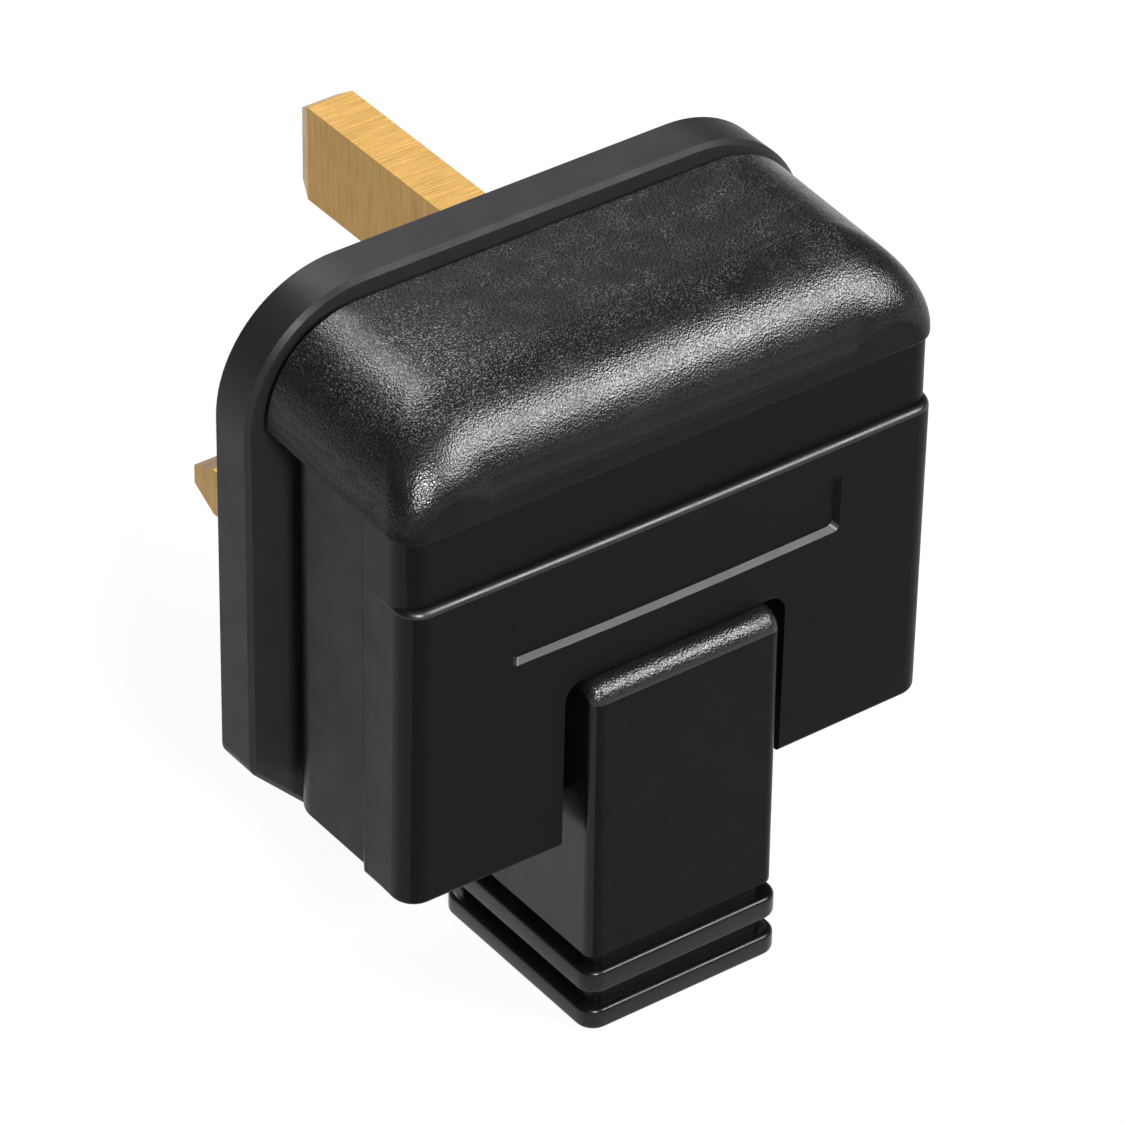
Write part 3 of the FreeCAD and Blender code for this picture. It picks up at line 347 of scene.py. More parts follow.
@dataclass(frozen=True)
class PlasticFinish(Finish):
    """Moulded plastic with tool grain, faint mottling and scuffs.

    Args:
        gloss: Specular level.
        grain: Texture of the tool.
        mottle: Pattern of the mottling.
        mottle_span: Part of that pattern over which the roughness changes.
        mottle_rough: Change of the roughness to either side.
        scuff: Pattern of the scuffs.
        scuff_stretch: How the scuffs are drawn out along X, Y and Z.
        scuff_turn: How the scuffs are turned, in degrees.
        scuff_span: Part of that pattern over which a scuff fades in.
        scuff_rough: Roughness that a scuff adds.
        satin: Pattern of the smooth faces' fine grain.
        satin_depth_mm: Depth of the fine grain.
        satin_share: Share of the fine grain's effect.
        pebble_mm: Size of the spark grain's pebbles.
        coarse: Pattern that is laid over the pebbles.
        grain_depth_mm: Depth of the spark grain.
        glint: Pattern of the smoother spots in the spark grain.
        glint_span: Part of that pattern over which a spot fades in.
        glint_smooth: Roughness that a spot takes off.
        painted_sparkle_colour: Colour of the pale specks on the spark grain, a painted sparkle
            that stands in for glints of the lamps.
        speck: Pattern of the painted sparkle specks.
        speck_span: Part of that pattern over which a speck fades in.
        cloud: Pattern of the places with more specks.
        cloud_span: Part of that pattern over which the specks get more.
        cloud_share: Least and greatest share of the specks there.
        sparkle_at_mm: Middle of the place with the most painted sparkle, near the top of the cap's
            left side.
        sparkle_reach_mm: How far that place reaches.
        sparkle_peak_share: Share of the specks in its middle.
        sparkle_height_mm: Heights between which the specks fade in.
    """

    gloss: float = 0.3
    grain: Grain = Grain.SATIN
    mottle: Noise = Noise(3.5, 4.0, 0.6)
    mottle_span: Span = (0.3, 0.7)
    mottle_rough: float = 0.05
    scuff: Noise = Noise(1.1, 5.0, 0.7)
    scuff_stretch: Triple = (1.0, 0.35, 0.6)
    scuff_turn: Triple = (0.0, 20.0, 35.0)
    scuff_span: Span = (0.56, 0.74)
    scuff_rough: float = 0.05
    satin: Noise = Noise(0.22, 3.0, 0.6)
    satin_depth_mm: float = 0.006
    satin_share: float = 0.5
    pebble_mm: float = 0.17
    coarse: Noise = Noise(0.272, 3.0, 0.65)
    grain_depth_mm: float = 0.023
    glint: Noise = Noise(0.17, 1.0, 0.5)
    glint_span: Span = (0.58, 0.70)
    glint_smooth: float = 0.16
    # Grey of the painted sparkle specks, which stand in for glints of the lamps on the grain.
    painted_sparkle_colour: Colour = (0.20, 0.20, 0.21)
    speck: Noise = Noise(0.13, 2.0, 0.6)
    speck_span: Span = (0.52, 0.68)
    cloud: Noise = Noise(2.6, 3.0, 0.6)
    cloud_span: Span = (0.40, 0.68)
    cloud_share: Span = (0.08, 0.42)
    sparkle_at_mm: Triple = (-16.0, -13.5, 17.2)
    sparkle_reach_mm: float = 9.5
    sparkle_peak_share: float = 0.9
    sparkle_height_mm: Span = (12.5, 16.5)

    def paint_on(self, paint: NodePainter, shader: bpy.types.NodeInputs) -> None:
        """Wire colour, roughness, grain and gloss.

        Args:
            paint: Adds the nodes.
            shader: The shader's inputs.
        """
        place = paint.place()
        mottle = paint.noise(place, self.mottle)
        colour = paint.blend(mottle, self.first, self.second)
        drawn_out = paint.stretch(place, self.scuff_stretch, self.scuff_turn)
        scuff = paint.ramp(paint.noise(drawn_out, self.scuff), self.scuff_span)
        rough = paint.ramp(mottle, self.mottle_span, self.rough - self.mottle_rough,
                           self.rough + self.mottle_rough)
        rough = paint.math("ADD", rough, paint.math("MULTIPLY", scuff, self.scuff_rough))
        normal = paint.bump(paint.noise(place, self.satin), self.satin_depth_mm,
                            self.satin_share)
        if self.grain is Grain.SPARK:
            pebbles = paint.cells(place, self.pebble_mm)
            height = paint.math("ADD", pebbles, paint.noise(place, self.coarse))
            normal = paint.bump(height, self.grain_depth_mm, 1.0, normal)
            glint = paint.ramp(paint.noise(place, self.glint), self.glint_span,
                               end=self.glint_smooth)
            rough = paint.math("SUBTRACT", rough, glint)
            # Painted sparkle: pale specks mixed into the base colour stand in for glints of the
            # lamps.
            colour = paint.blend(self.painted_sparkle_share(paint, place), colour, self.painted_sparkle_colour)
        paint.feed(shader["Base Color"], colour)
        paint.feed(shader["Roughness"], rough)
        paint.feed(shader["Normal"], normal)
        paint.feed(shader["Specular IOR Level"], self.gloss)

    def painted_sparkle_share(self, paint: NodePainter, place: bpy.types.NodeSocket) -> bpy.types.NodeSocket:
        """Share of painted sparkle specks, which stand in for glints of the lamps, strongest near
        the top of the cap's left side and thin elsewhere.

        Args:
            paint: Adds the nodes.
            place: Coordinates.

        Returns:
            The share socket.
        """
        middle = tuple(value * MM for value in self.sparkle_at_mm)
        gap = paint.vectors("DISTANCE", place, middle).outputs["Value"]
        zone = paint.ramp(gap, (0.0, self.sparkle_reach_mm * MM), self.sparkle_peak_share, 0.0)
        cloud = paint.ramp(paint.noise(place, self.cloud), self.cloud_span, *self.cloud_share)
        specks = paint.ramp(paint.noise(place, self.speck), self.speck_span)
        height = paint.add("ShaderNodeSeparateXYZ", vector=place).outputs["Z"]
        foot, full = self.sparkle_height_mm
        specks = paint.math("MULTIPLY", specks, paint.ramp(height, (foot * MM, full * MM)))
        return paint.math("MULTIPLY", specks, paint.math("ADD", cloud, zone), clamp=True)


@dataclass(frozen=True)
class MetalFinish(Finish):
    """Cut or rolled metal with tarnish and marks that run one way.

    Args:
        marks: Pattern of the tool marks.
        mark_stretch: How the marks are drawn out along X, Y and Z.
        mark_turn: How the marks are turned, in degrees.
        mark_depth_mm: Depth of the marks.
        mark_bump: Share of the depth's effect.
        mark_span: Part of that pattern over which a mark fades in.
        mark_shade: Share of the second colour in a mark.
        rough_span: Part of that pattern over which the roughness changes.
        rough_change: What the roughness loses and gains.
        patina: Pattern of the tarnish.
        patina_span: Part of that pattern over which the tarnish fades in.
        patina_shade: Share of the second colour in the tarnish.
    """

    marks: Noise = Noise(0.25, 3.0, 0.6)
    mark_stretch: Triple = (0.06, 1.0, 0.06)
    mark_turn: Triple = (0.0, 0.0, 0.0)
    mark_depth_mm: float = 0.012
    mark_bump: float = 0.6
    mark_span: Span = (0.42, 0.66)
    mark_shade: float = 0.32
    rough_span: Span = (0.3, 0.7)
    rough_change: Span = (0.07, 0.1)
    patina: Noise = Noise(2.4, 4.0, 0.6)
    patina_span: Span = (0.42, 0.75)
    patina_shade: float = 0.2

    def paint_on(self, paint: NodePainter, shader: bpy.types.NodeInputs) -> None:
        """Wire colour, roughness and marks.

        Args:
            paint: Adds the nodes.
            shader: The shader's inputs.
        """
        place = paint.place()
        drawn_out = paint.stretch(place, self.mark_stretch, self.mark_turn)
        marks = paint.noise(drawn_out, self.marks)
        patina = paint.noise(place, self.patina)
        tone = paint.math("ADD", paint.ramp(patina, self.patina_span, end=self.patina_shade),
                          paint.ramp(marks, self.mark_span, end=self.mark_shade), clamp=True)
        less, more = self.rough_change
        rough = paint.ramp(marks, self.rough_span, self.rough - less, self.rough + more)
        paint.feed(shader["Base Color"], paint.blend(tone, self.first, self.second))
        paint.feed(shader["Roughness"], rough)
        paint.feed(shader["Normal"], paint.bump(marks, self.mark_depth_mm, self.mark_bump))
        paint.feed(shader["Metallic"], 1.0)


@dataclass
class Finishes:
    """Every finish of the plug, made at its first use and shared by the sub-assemblies.

    Args:
        cap_grain: The cover's cap, with painted sparkle specks near its top, and the guard's
            upward rounds, where a glossier copy gives a painted sheen.
        cover: The rest of the cover.
        base: The base plate.
        guard: The cord guard.
        sleeve: The sleeves of two pins.
        bar: The cord grip's bar and the cover screw's washer.
        ceramic: The fuse's tube.
        brass: Pins, live terminal and insert.
        steel: Screws.
        clip: Fuse clips.
        cap: The fuse's end caps.
        made: The materials made so far, by name.
    """

    cap_grain: PlasticFinish = PlasticFinish(
        "cap_black", (0.0024, 0.0024, 0.0025), (0.0044, 0.0043, 0.0045), 0.30, grain=Grain.SPARK)
    cover: PlasticFinish = PlasticFinish(
        "cover_black", (0.0020, 0.0019, 0.0020), (0.0036, 0.0034, 0.0035), 0.36, gloss=0.05)
    base: PlasticFinish = PlasticFinish(
        "base_grey", (0.012, 0.012, 0.0135), (0.016, 0.016, 0.018), 0.40, gloss=0.12)
    guard: PlasticFinish = PlasticFinish(
        "guard_black", (0.0020, 0.0019, 0.0020), (0.0036, 0.0034, 0.0035), 0.27, gloss=0.06)
    sleeve: PlasticFinish = PlasticFinish(
        "sleeve_black", (0.010, 0.010, 0.011), (0.016, 0.016, 0.017), 0.34, gloss=0.4)
    bar: PlasticFinish = PlasticFinish("bar_grey", (0.10, 0.10, 0.10), (0.15, 0.15, 0.14), 0.5)
    ceramic: PlasticFinish = PlasticFinish(
        "fuse_white", (0.66, 0.64, 0.58), (0.78, 0.76, 0.70), 0.4, gloss=0.5)
    brass: MetalFinish = MetalFinish(
        "pin_brass", (0.39, 0.23, 0.062), (0.23, 0.12, 0.03), 0.32, marks=Noise(0.12, 3.0, 0.6),
        mark_stretch=(0.03, 1.0, 0.03), mark_turn=(0.0, 0.0, 14.0), mark_depth_mm=0.016)
    steel: MetalFinish = MetalFinish(
        "screw_steel", (0.62, 0.61, 0.58), (0.36, 0.34, 0.31), 0.28)
    clip: MetalFinish = MetalFinish(
        "clip_bronze", (0.70, 0.55, 0.36), (0.42, 0.30, 0.17), 0.3, mark_stretch=(0.06, 0.06, 1.0))
    cap: MetalFinish = MetalFinish(
        "cap_nickel", (0.72, 0.70, 0.66), (0.45, 0.43, 0.40), 0.22, mark_stretch=(0.06, 0.06, 1.0))
    made: dict[str, bpy.types.Material] = field(default_factory=dict)

    def get(self, name: str, gloss: float | None = None) -> bpy.types.Material:
        """The material of one finish.

        Args:
            name: The finish's field name.
            gloss: Another specular level for a plastic finish.

        Returns:
            The material.
        """
        finish = getattr(self, name)
        if gloss is not None:
            glossier_name = "%s_%02d" % (finish.name, round(100 * gloss))
            finish = replace(finish, name=glossier_name, gloss=gloss)
        if finish.name not in self.made:
            self.made[finish.name] = finish.build()
        return self.made[finish.name]


@dataclass
class SubAssembly:
    """A group of pieces that are dressed together.

    Args:
        nodes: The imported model's objects by name.
        finishes: The plug's finishes.
        plain: Solids that are carried over as they are, by finish.
    """

    nodes: dict[str, bpy.types.Object]
    finishes: Finishes
    plain: Plain = ()

    def build(self) -> None:
        """Dress the solids that are carried over."""
        for finish, names in self.plain:
            for name in names:
                self.dress_node(name, finish)

    def dress_node(self, node: str, finish: str) -> None:
        """Give a carried-over solid its finish.

        Args:
            node: The solid's name.
            finish: The finish's name.
        """
        target = self.nodes[node]
        if not target.material_slots:
            target.data.materials.append(None)
        for slot in target.material_slots:
            slot.material = self.finishes.get(finish)
        LOG.info("dressed %s in %s", node, finish)

    def copy_node(self, node: str) -> bmesh.types.BMesh:
        """A merged copy of a solid's mesh that keeps its smooth normals in a layer.

        Args:
            node: The solid's name.

        Returns:
            The copy, with the layer of normals on its corners.
        """
        source = self.nodes[node].data
        copy = bmesh.new()
        copy.from_mesh(source)
        layer = copy.loops.layers.float_vector.new(NORMALS)
        normals = [normal.vector.copy() for normal in source.corner_normals]
        for face, polygon in zip(copy.faces, source.polygons):
            for corner, index in zip(face.loops, polygon.loop_indices):
                corner[layer] = normals[index]
        bmesh.ops.remove_doubles(copy, verts=copy.verts, dist=WELD)
        return copy

    def stand_in(self, name: str, form: bmesh.types.BMesh,
                 materials: Sequence[bpy.types.Material], node: str, slot: str) -> None:
        """Make a piece from a finished copy and let it stand for its solid.

        Args:
            name: The piece's name.
            form: The copy, which is freed.
            materials: Its materials, in order.
            node: The solid that it stands for.
            slot: Not used.
        """
        layer = form.loops.layers.float_vector[NORMALS]
        normals = [tuple(corner[layer]) for face in form.faces for corner in face.loops]
        mesh = bpy.data.meshes.new(name)
        form.to_mesh(mesh)
        form.free()
        mesh.attributes.remove(mesh.attributes[NORMALS])
        mesh.shade_smooth()
        mesh.normals_split_custom_set(normals)
        for material in materials:
            mesh.materials.append(material)
        piece = bpy.data.objects.new(name, mesh)
        bpy.context.scene.collection.objects.link(piece)
        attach(piece, "root")
        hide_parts(node)
        LOG.info("piece %s", name)


@dataclass
class Shell(SubAssembly):
    """Base plate and rear cover, whose cap has spark grain while the rest is satin.

    The cap's specular level follows which way each face points: highest at the roll, where the
    lamps' highlight falls, and lower towards the sides and the flat top, a painted sheen.

    Args:
        rim: Depth of the cap's rim.
        back: Depth of the cap's back.
        cap_foot: Height of the cap's foot at the rim.
        fall: How much lower the foot is at the back.
        sheen_by_slope: Specular level of the cap from each upward slope on, a painted sheen.
        edges: Specular level from each upward slope on, below the cap, a painted sheen that makes
            upward faces and rounds catch the lamps.
        side_slope: Sideways slope from which faces below the cap are made glossier, a painted
            sheen on the sides.
        side_from: How far out from the middle such faces start, so that inner walls stay dull.
        side_gloss: Their specular level.
    """

    plain: Plain = (("base", ("base",)),)
    rim: float = 4.9 * MM
    back: float = 21.8 * MM
    cap_foot: float = 9.8 * MM
    fall: float = 0.8 * MM
    sheen_by_slope: Pairs = ((-1.0, 0.07), (0.06, 0.12), (0.16, 0.20), (0.28, 0.30), (0.42, 0.40),
                     (0.55, 0.50), (0.93, 0.36), (0.96, 0.25), (0.98, 0.16), (0.991, 0.09))
    edges: Pairs = ((0.12, 0.5), (0.98, 0.2))
    side_slope: float = 0.7
    side_from: float = 17.0 * MM
    side_gloss: float = 0.13

    def build(self) -> None:
        """Dress the base, and make the cover in copies of its finishes whose specular level
        follows which way faces point, a painted sheen.
        """
        super().build()
        cover = self.copy_node("rear_cover")
        cover.normal_update()
        for face in cover.faces:
            face.material_index = self.sheen_of(face)
        # Glossier copies of the finishes, for the painted sheen.
        materials = [self.finishes.get("cover"), self.finishes.get("cover", self.side_gloss)]
        materials += [self.finishes.get("cover", gloss) for _, gloss in self.edges]
        materials += [self.finishes.get("cap_grain", gloss) for _, gloss in self.sheen_by_slope]
        self.stand_in("cover_moulding", cover, materials, "rear_cover", "cover_plastic")

    def sheen_of(self, face: bmesh.types.BMFace) -> int:
        """The material slot of one face of the cover.

        Args:
            face: The face.

        Returns:
            The slot's number: plain, side, the edges in order, the cap's sheen levels in order.
        """
        # Painted sheen: the slot, and so the specular level, is picked from the way the face
        # points.
        slope = face.normal.z
        centre = face.calc_center_median()
        if self.on_cap(centre):
            level = sum(slope >= start for start, _ in self.sheen_by_slope) - 1
            return Sheen.EDGE + len(self.edges) + level
        if slope >= self.edges[0][0]:
            return Sheen.EDGE + sum(slope >= start for start, _ in self.edges) - 1
        if abs(face.normal.x) > self.side_slope and abs(centre.x) > self.side_from:
            return Sheen.SIDE
        return Sheen.PLAIN

    def on_cap(self, point: Vector) -> bool:
        """Whether a point of the cover is above the cap's sloping foot."""
        foot = self.cap_foot - self.fall * (-point.y - self.rim) / (self.back - self.rim)
        return point.z > foot - WELD


@dataclass
class CordGuard(SubAssembly):
    """The block that the cord leaves by, with two rounded ribs round its lower end.

    Args:
        half: Half the stem's width between the ribs.
        front: Depth of the stem's front.
        back: Depth of the stem's back.
        corner: Radius of the stem's corners.
        corner_steps: Flats round each of those corners.
        bore: Radius of the cord's way.
        bore_depth: Depth of the cord's centre line.
        bore_steps: Flats round the cord's way.
        cut: Height at which the stem starts.
        foot: Height of the stem's foot.
        rib_out: How far the ribs stand out from the stem.
        rib_in: How far they reach into it.
        rib_round: Radius of the ribs' edges.
        rib_corner: Radius of the ribs' middle line at the corners.
        ribs: Middle and thickness of the two ribs.
        edge_slope: Upward slope from which the block's rounds take a glossier copy of the finish,
            a painted sheen that catches the lamps.
        edge_gloss: Their specular level.
        side_slope: Sideways slope from which the block's faces take a glossier copy of the finish,
            a painted sheen on its sides.
        side_gloss: Their specular level.
        rib_gloss: Specular level of the ribs.
    """

    half: float = 7.85 * MM
    front: float = 6.4 * MM
    back: float = 23.2 * MM
    corner: float = 1.0 * MM
    corner_steps: int = 6
    bore: float = 4.2 * MM
    bore_depth: float = 12.2 * MM
    bore_steps: int = 48
    cut: float = -33.0 * MM
    foot: float = -38.6 * MM
    rib_out: float = 0.92 * MM
    rib_in: float = 0.4 * MM
    rib_round: float = 0.42 * MM
    rib_corner: float = 0.85 * MM
    ribs: Pairs = ((-34.35 * MM, 2.0 * MM), (-37.78 * MM, 1.84 * MM))
    edge_slope: float = 0.12
    edge_gloss: float = 0.5
    side_slope: float = 0.7
    side_gloss: float = 0.22
    rib_gloss: float = 0.26

    def build(self) -> None:
        """Make the guard's body and its ribs."""
        body = self.copy_node("cord_guard")
        self.trim(body)
        self.add_stem(body)
        body.normal_update()
        for face in body.faces:
            face.material_index = self.sheen_of(face)
        materials = [self.finishes.get("guard"), self.finishes.get("guard", self.side_gloss),
                     self.finishes.get("cap_grain", self.edge_gloss)]
        self.stand_in("cord_guard_body", body, materials, "cord_guard", "guard_rubber")
        RibRings(self.finishes.get("guard", self.rib_gloss), self).build()

    def sheen_of(self, face: bmesh.types.BMFace) -> int:
        """The material slot of one face of the body.

        Args:
            face: The face.

        Returns:
            The slot's number.
        """
        # Painted sheen: upward faces and sides take glossier copies of the finish, picked from the
        # way each face points.
        if face.normal.z > self.edge_slope:
            return Sheen.EDGE
        return Sheen.SIDE if abs(face.normal.x) > self.side_slope else Sheen.PLAIN

    def trim(self, body: bmesh.types.BMesh) -> None:
        """Cut the ribbed end off the copy and close it.

        Args:
            body: The guard's copy.
        """
        everything = [*body.verts, *body.edges, *body.faces]
        cut = bmesh.ops.bisect_plane(body, geom=everything, plane_co=UP * self.cut, plane_no=-UP,
                                     clear_outer=True)
        rim = [part for part in cut["geom_cut"] if isinstance(part, bmesh.types.BMEdge)]
        self.close(body, rim, -UP)

    def outline(self) -> list[tuple[Vector, Vector]]:
        """Points and outward normals round the stem.

        Returns:
            Pairs of a point and its normal, seen from above, turning left.
        """
        middle = -(self.front + self.back) / 2
        reach = (self.half - self.corner, (self.back - self.front) / 2 - self.corner)
        pairs = []
        for quarter, (across, along) in enumerate(((1, 1), (-1, 1), (-1, -1), (1, -1))):
            centre = Vector((across * reach[0], middle + along * reach[1], 0.0))
            for step in range(self.corner_steps + 1):
                angle = math.pi / 2 * (quarter + step / self.corner_steps)
                normal = Vector((math.cos(angle), math.sin(angle), 0.0))
                pairs.append((centre + normal * self.corner, normal))
        return pairs

    def way(self) -> list[tuple[Vector, Vector]]:
        """Points and normals round the cord's way.

        Returns:
            Pairs of a point and its normal, which points into the way.
        """
        centre = Vector((0.0, -self.bore_depth, 0.0))
        angles = [math.tau * step / self.bore_steps for step in range(self.bore_steps)]
        spokes = [Vector((math.cos(angle), math.sin(angle), 0.0)) for angle in angles]
        return [(centre + spoke * self.bore, -spoke) for spoke in spokes]

    def add_stem(self, body: bmesh.types.BMesh) -> None:
        """Add the smooth stem that the ribs sit on.

        Args:
            body: The guard's copy.
        """
        layer = body.loops.layers.float_vector[NORMALS]
        rims: dict[float, list[bmesh.types.BMEdge]] = {self.cut: [], self.foot: []}
        for pairs, inwards in ((self.outline(), False), (self.way(), True)):
            rings = {level: [body.verts.new((point.x, point.y, level)) for point, _ in pairs]
                     for level in rims}
            for level, ring in rings.items():
                rims[level] += [body.edges.new((ring[i - 1], ring[i])) for i in range(len(ring))]
            for i in range(len(pairs)):
                corners = [(rings[self.foot][i - 1], i - 1), (rings[self.foot][i], i),
                           (rings[self.cut][i], i), (rings[self.cut][i - 1], i - 1)]
                turned = corners[::-1] if inwards else corners
                wall = body.faces.new([vert for vert, _ in turned])
                for corner, (_, number) in zip(wall.loops, turned):
                    corner[layer] = pairs[number][1]
        self.close(body, rims[self.cut], UP)
        self.close(body, rims[self.foot], -UP)

    def close(self, body: bmesh.types.BMesh, rim: Sequence[bmesh.types.BMEdge],
              normal: Vector) -> None:
        """Fill a flat opening and write the new faces' own normals to the layer.

        Args:
            body: The guard's copy.
            rim: The edges round the opening.
            normal: Where the new faces look.
        """
        layer = body.loops.layers.float_vector[NORMALS]
        fill = bmesh.ops.triangle_fill(body, edges=rim, use_beauty=True, normal=normal)
        for face in fill["geom"]:
            if isinstance(face, bmesh.types.BMFace):
                face.normal_update()
                for corner in face.loops:
                    corner[layer] = face.normal


class RibRings:
    """The guard's ribs, made by a node tree.

    One rounded section is swept round the stem and set at each height.

    Args:
        material: The ribs' material.
        guard: The guard that they belong to.
    """

    RAIL_POINTS = 8
    EDGE_POINTS = 6

    def __init__(self, material: bpy.types.Material, guard: CordGuard) -> None:
        """Keep the material and work out the tree's inputs."""
        (first, thick), (last, thin) = guard.ribs
        out, into = guard.rib_out, guard.rib_in
        self.material = material
        self.number = len(guard.ribs)
        self.sizes = {
            "Across": 2.0 * guard.half + out - into,
            "Front to back": guard.back - guard.front + out - into,
            "Corner": guard.rib_corner,
            "Rib width": out + into,
            "Rib thickness": thick,
            "Last thickness": thin / thick,
            "Edge": guard.rib_round,
            "Middle depth": -(guard.front + guard.back) / 2,
            "First height": first,
            "Last height": last,
        }

    def tree(self) -> bpy.types.NodeTree:
        """Build the node tree.

        Returns:
            The tree, with a named input for each size.
        """
        tree = bpy.data.node_groups.new("rib_rings", "GeometryNodeTree")
        face = tree.interface
        for name in self.sizes:
            face.new_socket(name, in_out="INPUT", socket_type="NodeSocketFloat")
        face.new_socket("Geometry", in_out="OUTPUT", socket_type="NodeSocketGeometry")
        paint = NodePainter(tree)
        sizes = paint.add("NodeGroupInput").outputs
        ring = self.ring(paint, sizes)
        first, last = (
            paint.add("ShaderNodeCombineXYZ", y=sizes["Middle depth"], z=sizes[name]).outputs[0]
            for name in ("First height", "Last height"))
        step = paint.vectors("SUBTRACT", last, first).outputs["Vector"]
        places = paint.add("GeometryNodeMeshLine", {"mode": "OFFSET"}, count=self.number,
                           start_location=first, offset=step).outputs[0]
        number = paint.add("GeometryNodeInputIndex").outputs[0]
        thinner = paint.add("ShaderNodeMapRange", value=number, to_min=1.0,
                            to_max=sizes["Last thickness"]).outputs[0]
        scale = paint.add("ShaderNodeCombineXYZ", x=1.0, y=1.0, z=thinner).outputs[0]
        rings = paint.add("GeometryNodeInstanceOnPoints", points=places, instance=ring,
                          scale=scale).outputs[0]
        solid = paint.add("GeometryNodeRealizeInstances", geometry=rings).outputs[0]
        dressed = paint.add("GeometryNodeSetMaterial", geometry=solid,
                            material=self.material).outputs[0]
        paint.add("NodeGroupOutput", geometry=dressed)
        return tree

    def ring(self, paint: NodePainter, sizes: bpy.types.NodeOutputs) -> bpy.types.NodeSocket:
        """One rib round the stem.

        Args:
            paint: Adds the nodes.
            sizes: The tree's inputs.

        Returns:
            The mesh socket.
        """
        rail = self.rounded(paint, sizes["Across"], sizes["Front to back"], sizes["Corner"],
                            self.RAIL_POINTS)
        rail = paint.add("GeometryNodeSetCurveNormal", {"mode": "Z_UP"}, curve=rail).outputs[0]
        section = self.rounded(paint, sizes["Rib width"], sizes["Rib thickness"], sizes["Edge"],
                               self.EDGE_POINTS)
        sweep = paint.add("GeometryNodeCurveToMesh", curve=rail, profile_curve=section)
        return paint.add("GeometryNodeSetShadeSmooth", geometry=sweep.outputs[0]).outputs[0]

    def rounded(self, paint: NodePainter, width: Value, height: Value, radius: Value,
                count: int) -> bpy.types.NodeSocket:
        """A rounded rectangle in the tree.

        Args:
            paint: Adds the nodes.
            width: Width socket.
            height: Height socket.
            radius: Corner radius socket.
            count: Points at each corner.

        Returns:
            The curve socket.
        """
        flat = paint.add("GeometryNodeCurvePrimitiveQuadrilateral", width=width, height=height)
        return paint.add("GeometryNodeFilletCurve", {"mode": "POLY"}, curve=flat.outputs[0],
                         radius=radius, count=count, limit_radius=True).outputs[0]

    def build(self) -> None:
        """Run the tree and keep its result as a plain piece."""
        tree = self.tree()
        carrier = bpy.data.objects.new("rib_carrier", bpy.data.meshes.new("rib_carrier"))
        bpy.context.scene.collection.objects.link(carrier)
        rings = carrier.modifiers.new("rib_rings", "NODES")
        rings.node_group = tree
        for item in tree.interface.items_tree:
            if item.item_type == "SOCKET" and item.in_out == "INPUT":
                rings[item.identifier] = self.sizes[item.name]
        view = bpy.context.evaluated_depsgraph_get()
        mesh = bpy.data.meshes.new_from_object(carrier.evaluated_get(view), depsgraph=view)
        carrier.modifiers.remove(rings)
        bpy.data.objects.remove(carrier)
        mesh.name = "cord_guard_ribs"
        piece = bpy.data.objects.new("cord_guard_ribs", mesh)
        bpy.context.scene.collection.objects.link(piece)
        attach(piece, "root")
        LOG.info("piece %s with %d faces", piece.name, len(mesh.polygons))


@dataclass
class Pins(SubAssembly):
    """The three brass pins and the sleeves of two of them."""

    plain: Plain = (
        ("brass", ("earth_pin", "neutral_pin", "live_pin")),
        ("sleeve", ("neutral_pin_sleeve", "live_pin_sleeve")),
    )


@dataclass
class Inside(SubAssembly):
    """Terminals, fuse, cord grip and cover fixing, which the cover hides."""

    plain: Plain = (
        ("steel", ("earth_terminal_screw", "neutral_terminal_screw", "live_terminal_screw",
                   "cord_grip_screws", "cover_screw")),
        ("brass", ("live_terminal", "cover_insert")),
        ("clip", ("lower_fuse_clip", "upper_fuse_clip")),
        ("ceramic", ("fuse_body",)),
        ("cap", ("fuse_end_caps",)),
        ("bar", ("cord_grip_bar", "cover_screw_washer")),
    )


@dataclass(frozen=True)
class Softbox:
    """A rectangular lamp that points at the plug.

    Args:
        name: Lamp name.
        direction: Where it stands, seen from the plug.
        distance: How far away it stands, in metres.
        size: Its width and height in metres.
        power: Its power in watts.
    """

    name: str
    direction: Triple
    distance: float
    size: tuple[float, float]
    power: float

    def build(self, aim: Vector) -> None:
        """Hang the lamp.

        Args:
            aim: The point it shines at.
        """
        data = bpy.data.lights.new(self.name, "AREA")
        data.shape = "RECTANGLE"
        data.size, data.size_y = self.size
        data.energy = self.power
        lamp = bpy.data.objects.new(self.name, data)
        away = Vector(self.direction).normalized()
        lamp.location = aim + away * self.distance
        lamp.rotation_euler = away.to_track_quat("Z", "Y").to_euler()
        bpy.context.scene.collection.objects.link(lamp)
        LOG.info("lamp %s", self.name)


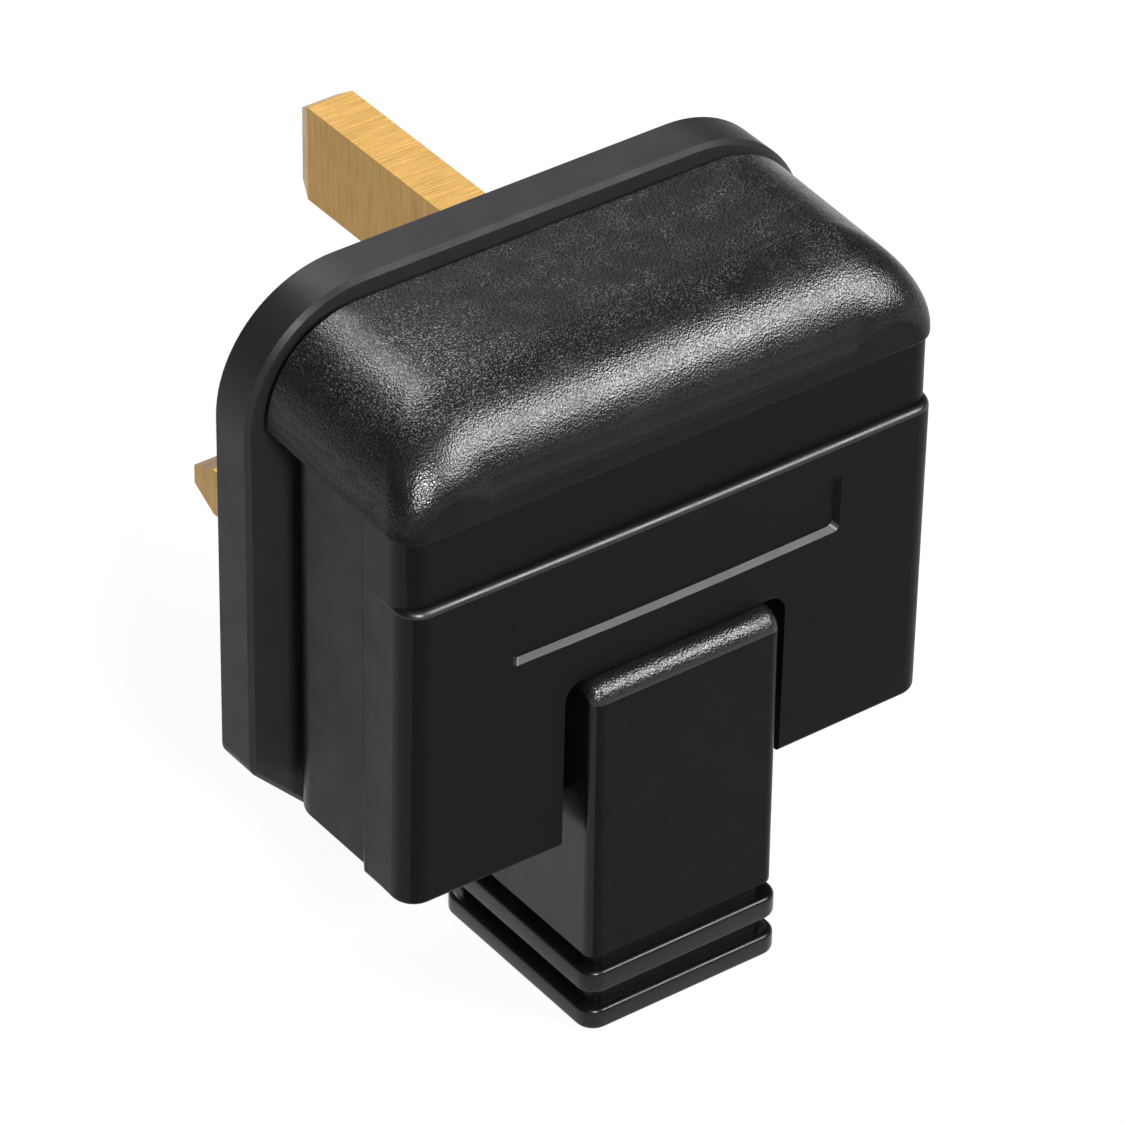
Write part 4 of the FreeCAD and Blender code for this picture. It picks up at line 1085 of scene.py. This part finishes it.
@dataclass
class Studio:
    """Camera, white ground, lamps and the air round them.

    Args:
        azimuth: Turn of the camera round the plug, in degrees.
        elevation: Height of the camera above the level, in degrees.
        roll: Lean of the camera, in degrees.
        distance: From the target to the camera, in metres.
        lens: Focal length in millimetres.
        sensor: Sensor width in millimetres.
        near: Where the camera's view starts, in metres.
        target: The point that camera and lamps look at.
        floor_half: Half the ground's width, in metres.
        floor_colour: Colour of the ground where light falls on it.
        floor_white: Share of plain white in the ground as it is seen.
        fill: Strength of the even light.
        lamps: The lamps.
    """

    azimuth: float = -36.430
    elevation: float = 35.828
    roll: float = 0.799
    distance: float = 0.52985
    lens: float = 239.23
    sensor: float = 36.0
    near: float = 0.01
    target: Triple = (-0.004994, -0.015, -0.003170)
    floor_half: float = 3.0
    floor_colour: Colour = (0.86, 0.86, 0.86)
    floor_white: float = 0.9
    fill: float = 0.10
    lamps: tuple[Softbox, ...] = (
        Softbox("right_softbox", (0.50, -0.63, 0.58), 0.70, (0.30, 0.22), 5.5),
        Softbox("left_softbox", (-0.31, -0.77, 0.55), 0.70, (0.12, 0.16), 6.5),
        Softbox("top_softbox", (0.10, 0.56, 0.82), 0.80, (0.38, 0.38), 4.4),
        Softbox("front_softbox", (0.48, 0.69, 0.54), 0.90, (0.26, 0.26), 0.62),
    )

    def build(self) -> None:
        """Set up the whole studio."""
        self.hang_camera()
        self.lay_floor()
        self.fill_air()
        for lamp in self.lamps:
            lamp.build(Vector(self.target))

    def hang_camera(self) -> None:
        """Stand the camera where the picture was taken from."""
        azimuth, elevation, roll = (
            math.radians(angle) for angle in (self.azimuth, self.elevation, self.roll))
        level = math.cos(elevation)
        back = Vector((math.sin(azimuth) * level, -math.cos(azimuth) * level,
                       math.sin(elevation)))
        right = (-back).cross(UP).normalized()
        up = right.cross(-back)
        rolled_right = right * math.cos(roll) + up * math.sin(roll)
        rolled_up = up * math.cos(roll) - right * math.sin(roll)
        data = bpy.data.cameras.new("camera")
        data.sensor_fit = "HORIZONTAL"
        data.sensor_width = self.sensor
        data.lens = self.lens
        data.clip_start = self.near
        camera = bpy.data.objects.new("camera", data)
        turn = Matrix((rolled_right, rolled_up, back)).transposed().to_4x4()
        stand = Vector(self.target) + back * self.distance
        camera.matrix_world = Matrix.Translation(stand) @ turn
        bpy.context.scene.collection.objects.link(camera)
        bpy.context.scene.camera = camera
        LOG.info("camera")

    def lay_floor(self) -> None:
        """Lay the pale ground that the plug stands on."""
        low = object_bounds()[0][2]
        half = self.floor_half
        corners = [(-half, -half, low), (half, -half, low), (half, half, low), (-half, half, low)]
        mesh = bpy.data.meshes.new("ground")
        mesh.from_pydata(corners, [], [(0, 1, 2, 3)])
        mesh.materials.append(self.paper())
        ground = bpy.data.objects.new("ground", mesh)
        bpy.context.scene.collection.objects.link(ground)
        ground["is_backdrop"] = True
        LOG.info("ground")

    def paper(self) -> bpy.types.Material:
        """The ground's material, nearly plain white where it is seen or mirrored.

        Returns:
            The material.
        """
        material = bpy.data.materials.new("ground_white")
        material.use_nodes = True
        nodes = material.node_tree.nodes
        nodes.remove(nodes["Principled BSDF"])
        paint = NodePainter(material.node_tree)
        path = paint.add("ShaderNodeLightPath").outputs
        mirrored = paint.math("MAXIMUM", path["Is Glossy Ray"], path["Is Transmission Ray"])
        seen = paint.math("MAXIMUM", path["Is Camera Ray"], mirrored)
        sheet = paint.add("ShaderNodeBsdfDiffuse", color=self.floor_colour).outputs[0]
        white = paint.add("ShaderNodeEmission", color=WHITE, strength=1.0).outputs[0]
        mixed = paint.add("ShaderNodeMixShader")
        paint.feed(mixed.inputs[0], paint.math("MULTIPLY", seen, self.floor_white))
        paint.feed(mixed.inputs[1], sheet)
        paint.feed(mixed.inputs[2], white)
        paint.feed(nodes["Material Output"].inputs["Surface"], mixed.outputs[0])
        return material

    def fill_air(self) -> None:
        """Give the room an even, dim fill and a white far wall."""
        world = bpy.data.worlds.new("studio")
        bpy.context.scene.world = world
        world.use_nodes = True
        paint = NodePainter(world.node_tree)
        path = paint.add("ShaderNodeLightPath").outputs
        wall = world.node_tree.nodes["Background"].inputs
        paint.feed(wall["Color"], WHITE)
        paint.feed(wall["Strength"], paint.ramp(path["Is Camera Ray"], (0.0, 1.0), self.fill))
        LOG.info("air")


class Plug:
    """The whole plug and its studio."""

    def __init__(self) -> None:
        """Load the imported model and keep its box."""
        self.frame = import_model()
        self.solid_box = [list(corner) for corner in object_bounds()]
        self.finishes = Finishes()

    def build(self) -> None:
        """Dress every sub-assembly and set up the studio."""
        bpy.context.scene.view_settings.view_transform = "Standard"
        for kind in (Shell, CordGuard, Pins, Inside):
            kind(self.frame["nodes"], self.finishes).build()
        Studio().build()

    def write_size(self) -> None:
        """Bring the view layer up to date."""
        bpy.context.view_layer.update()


def main() -> None:
    """Build the scene."""
    plug = Plug()
    plug.build()
    plug.write_size()


if __name__ == "__main__":
    main()
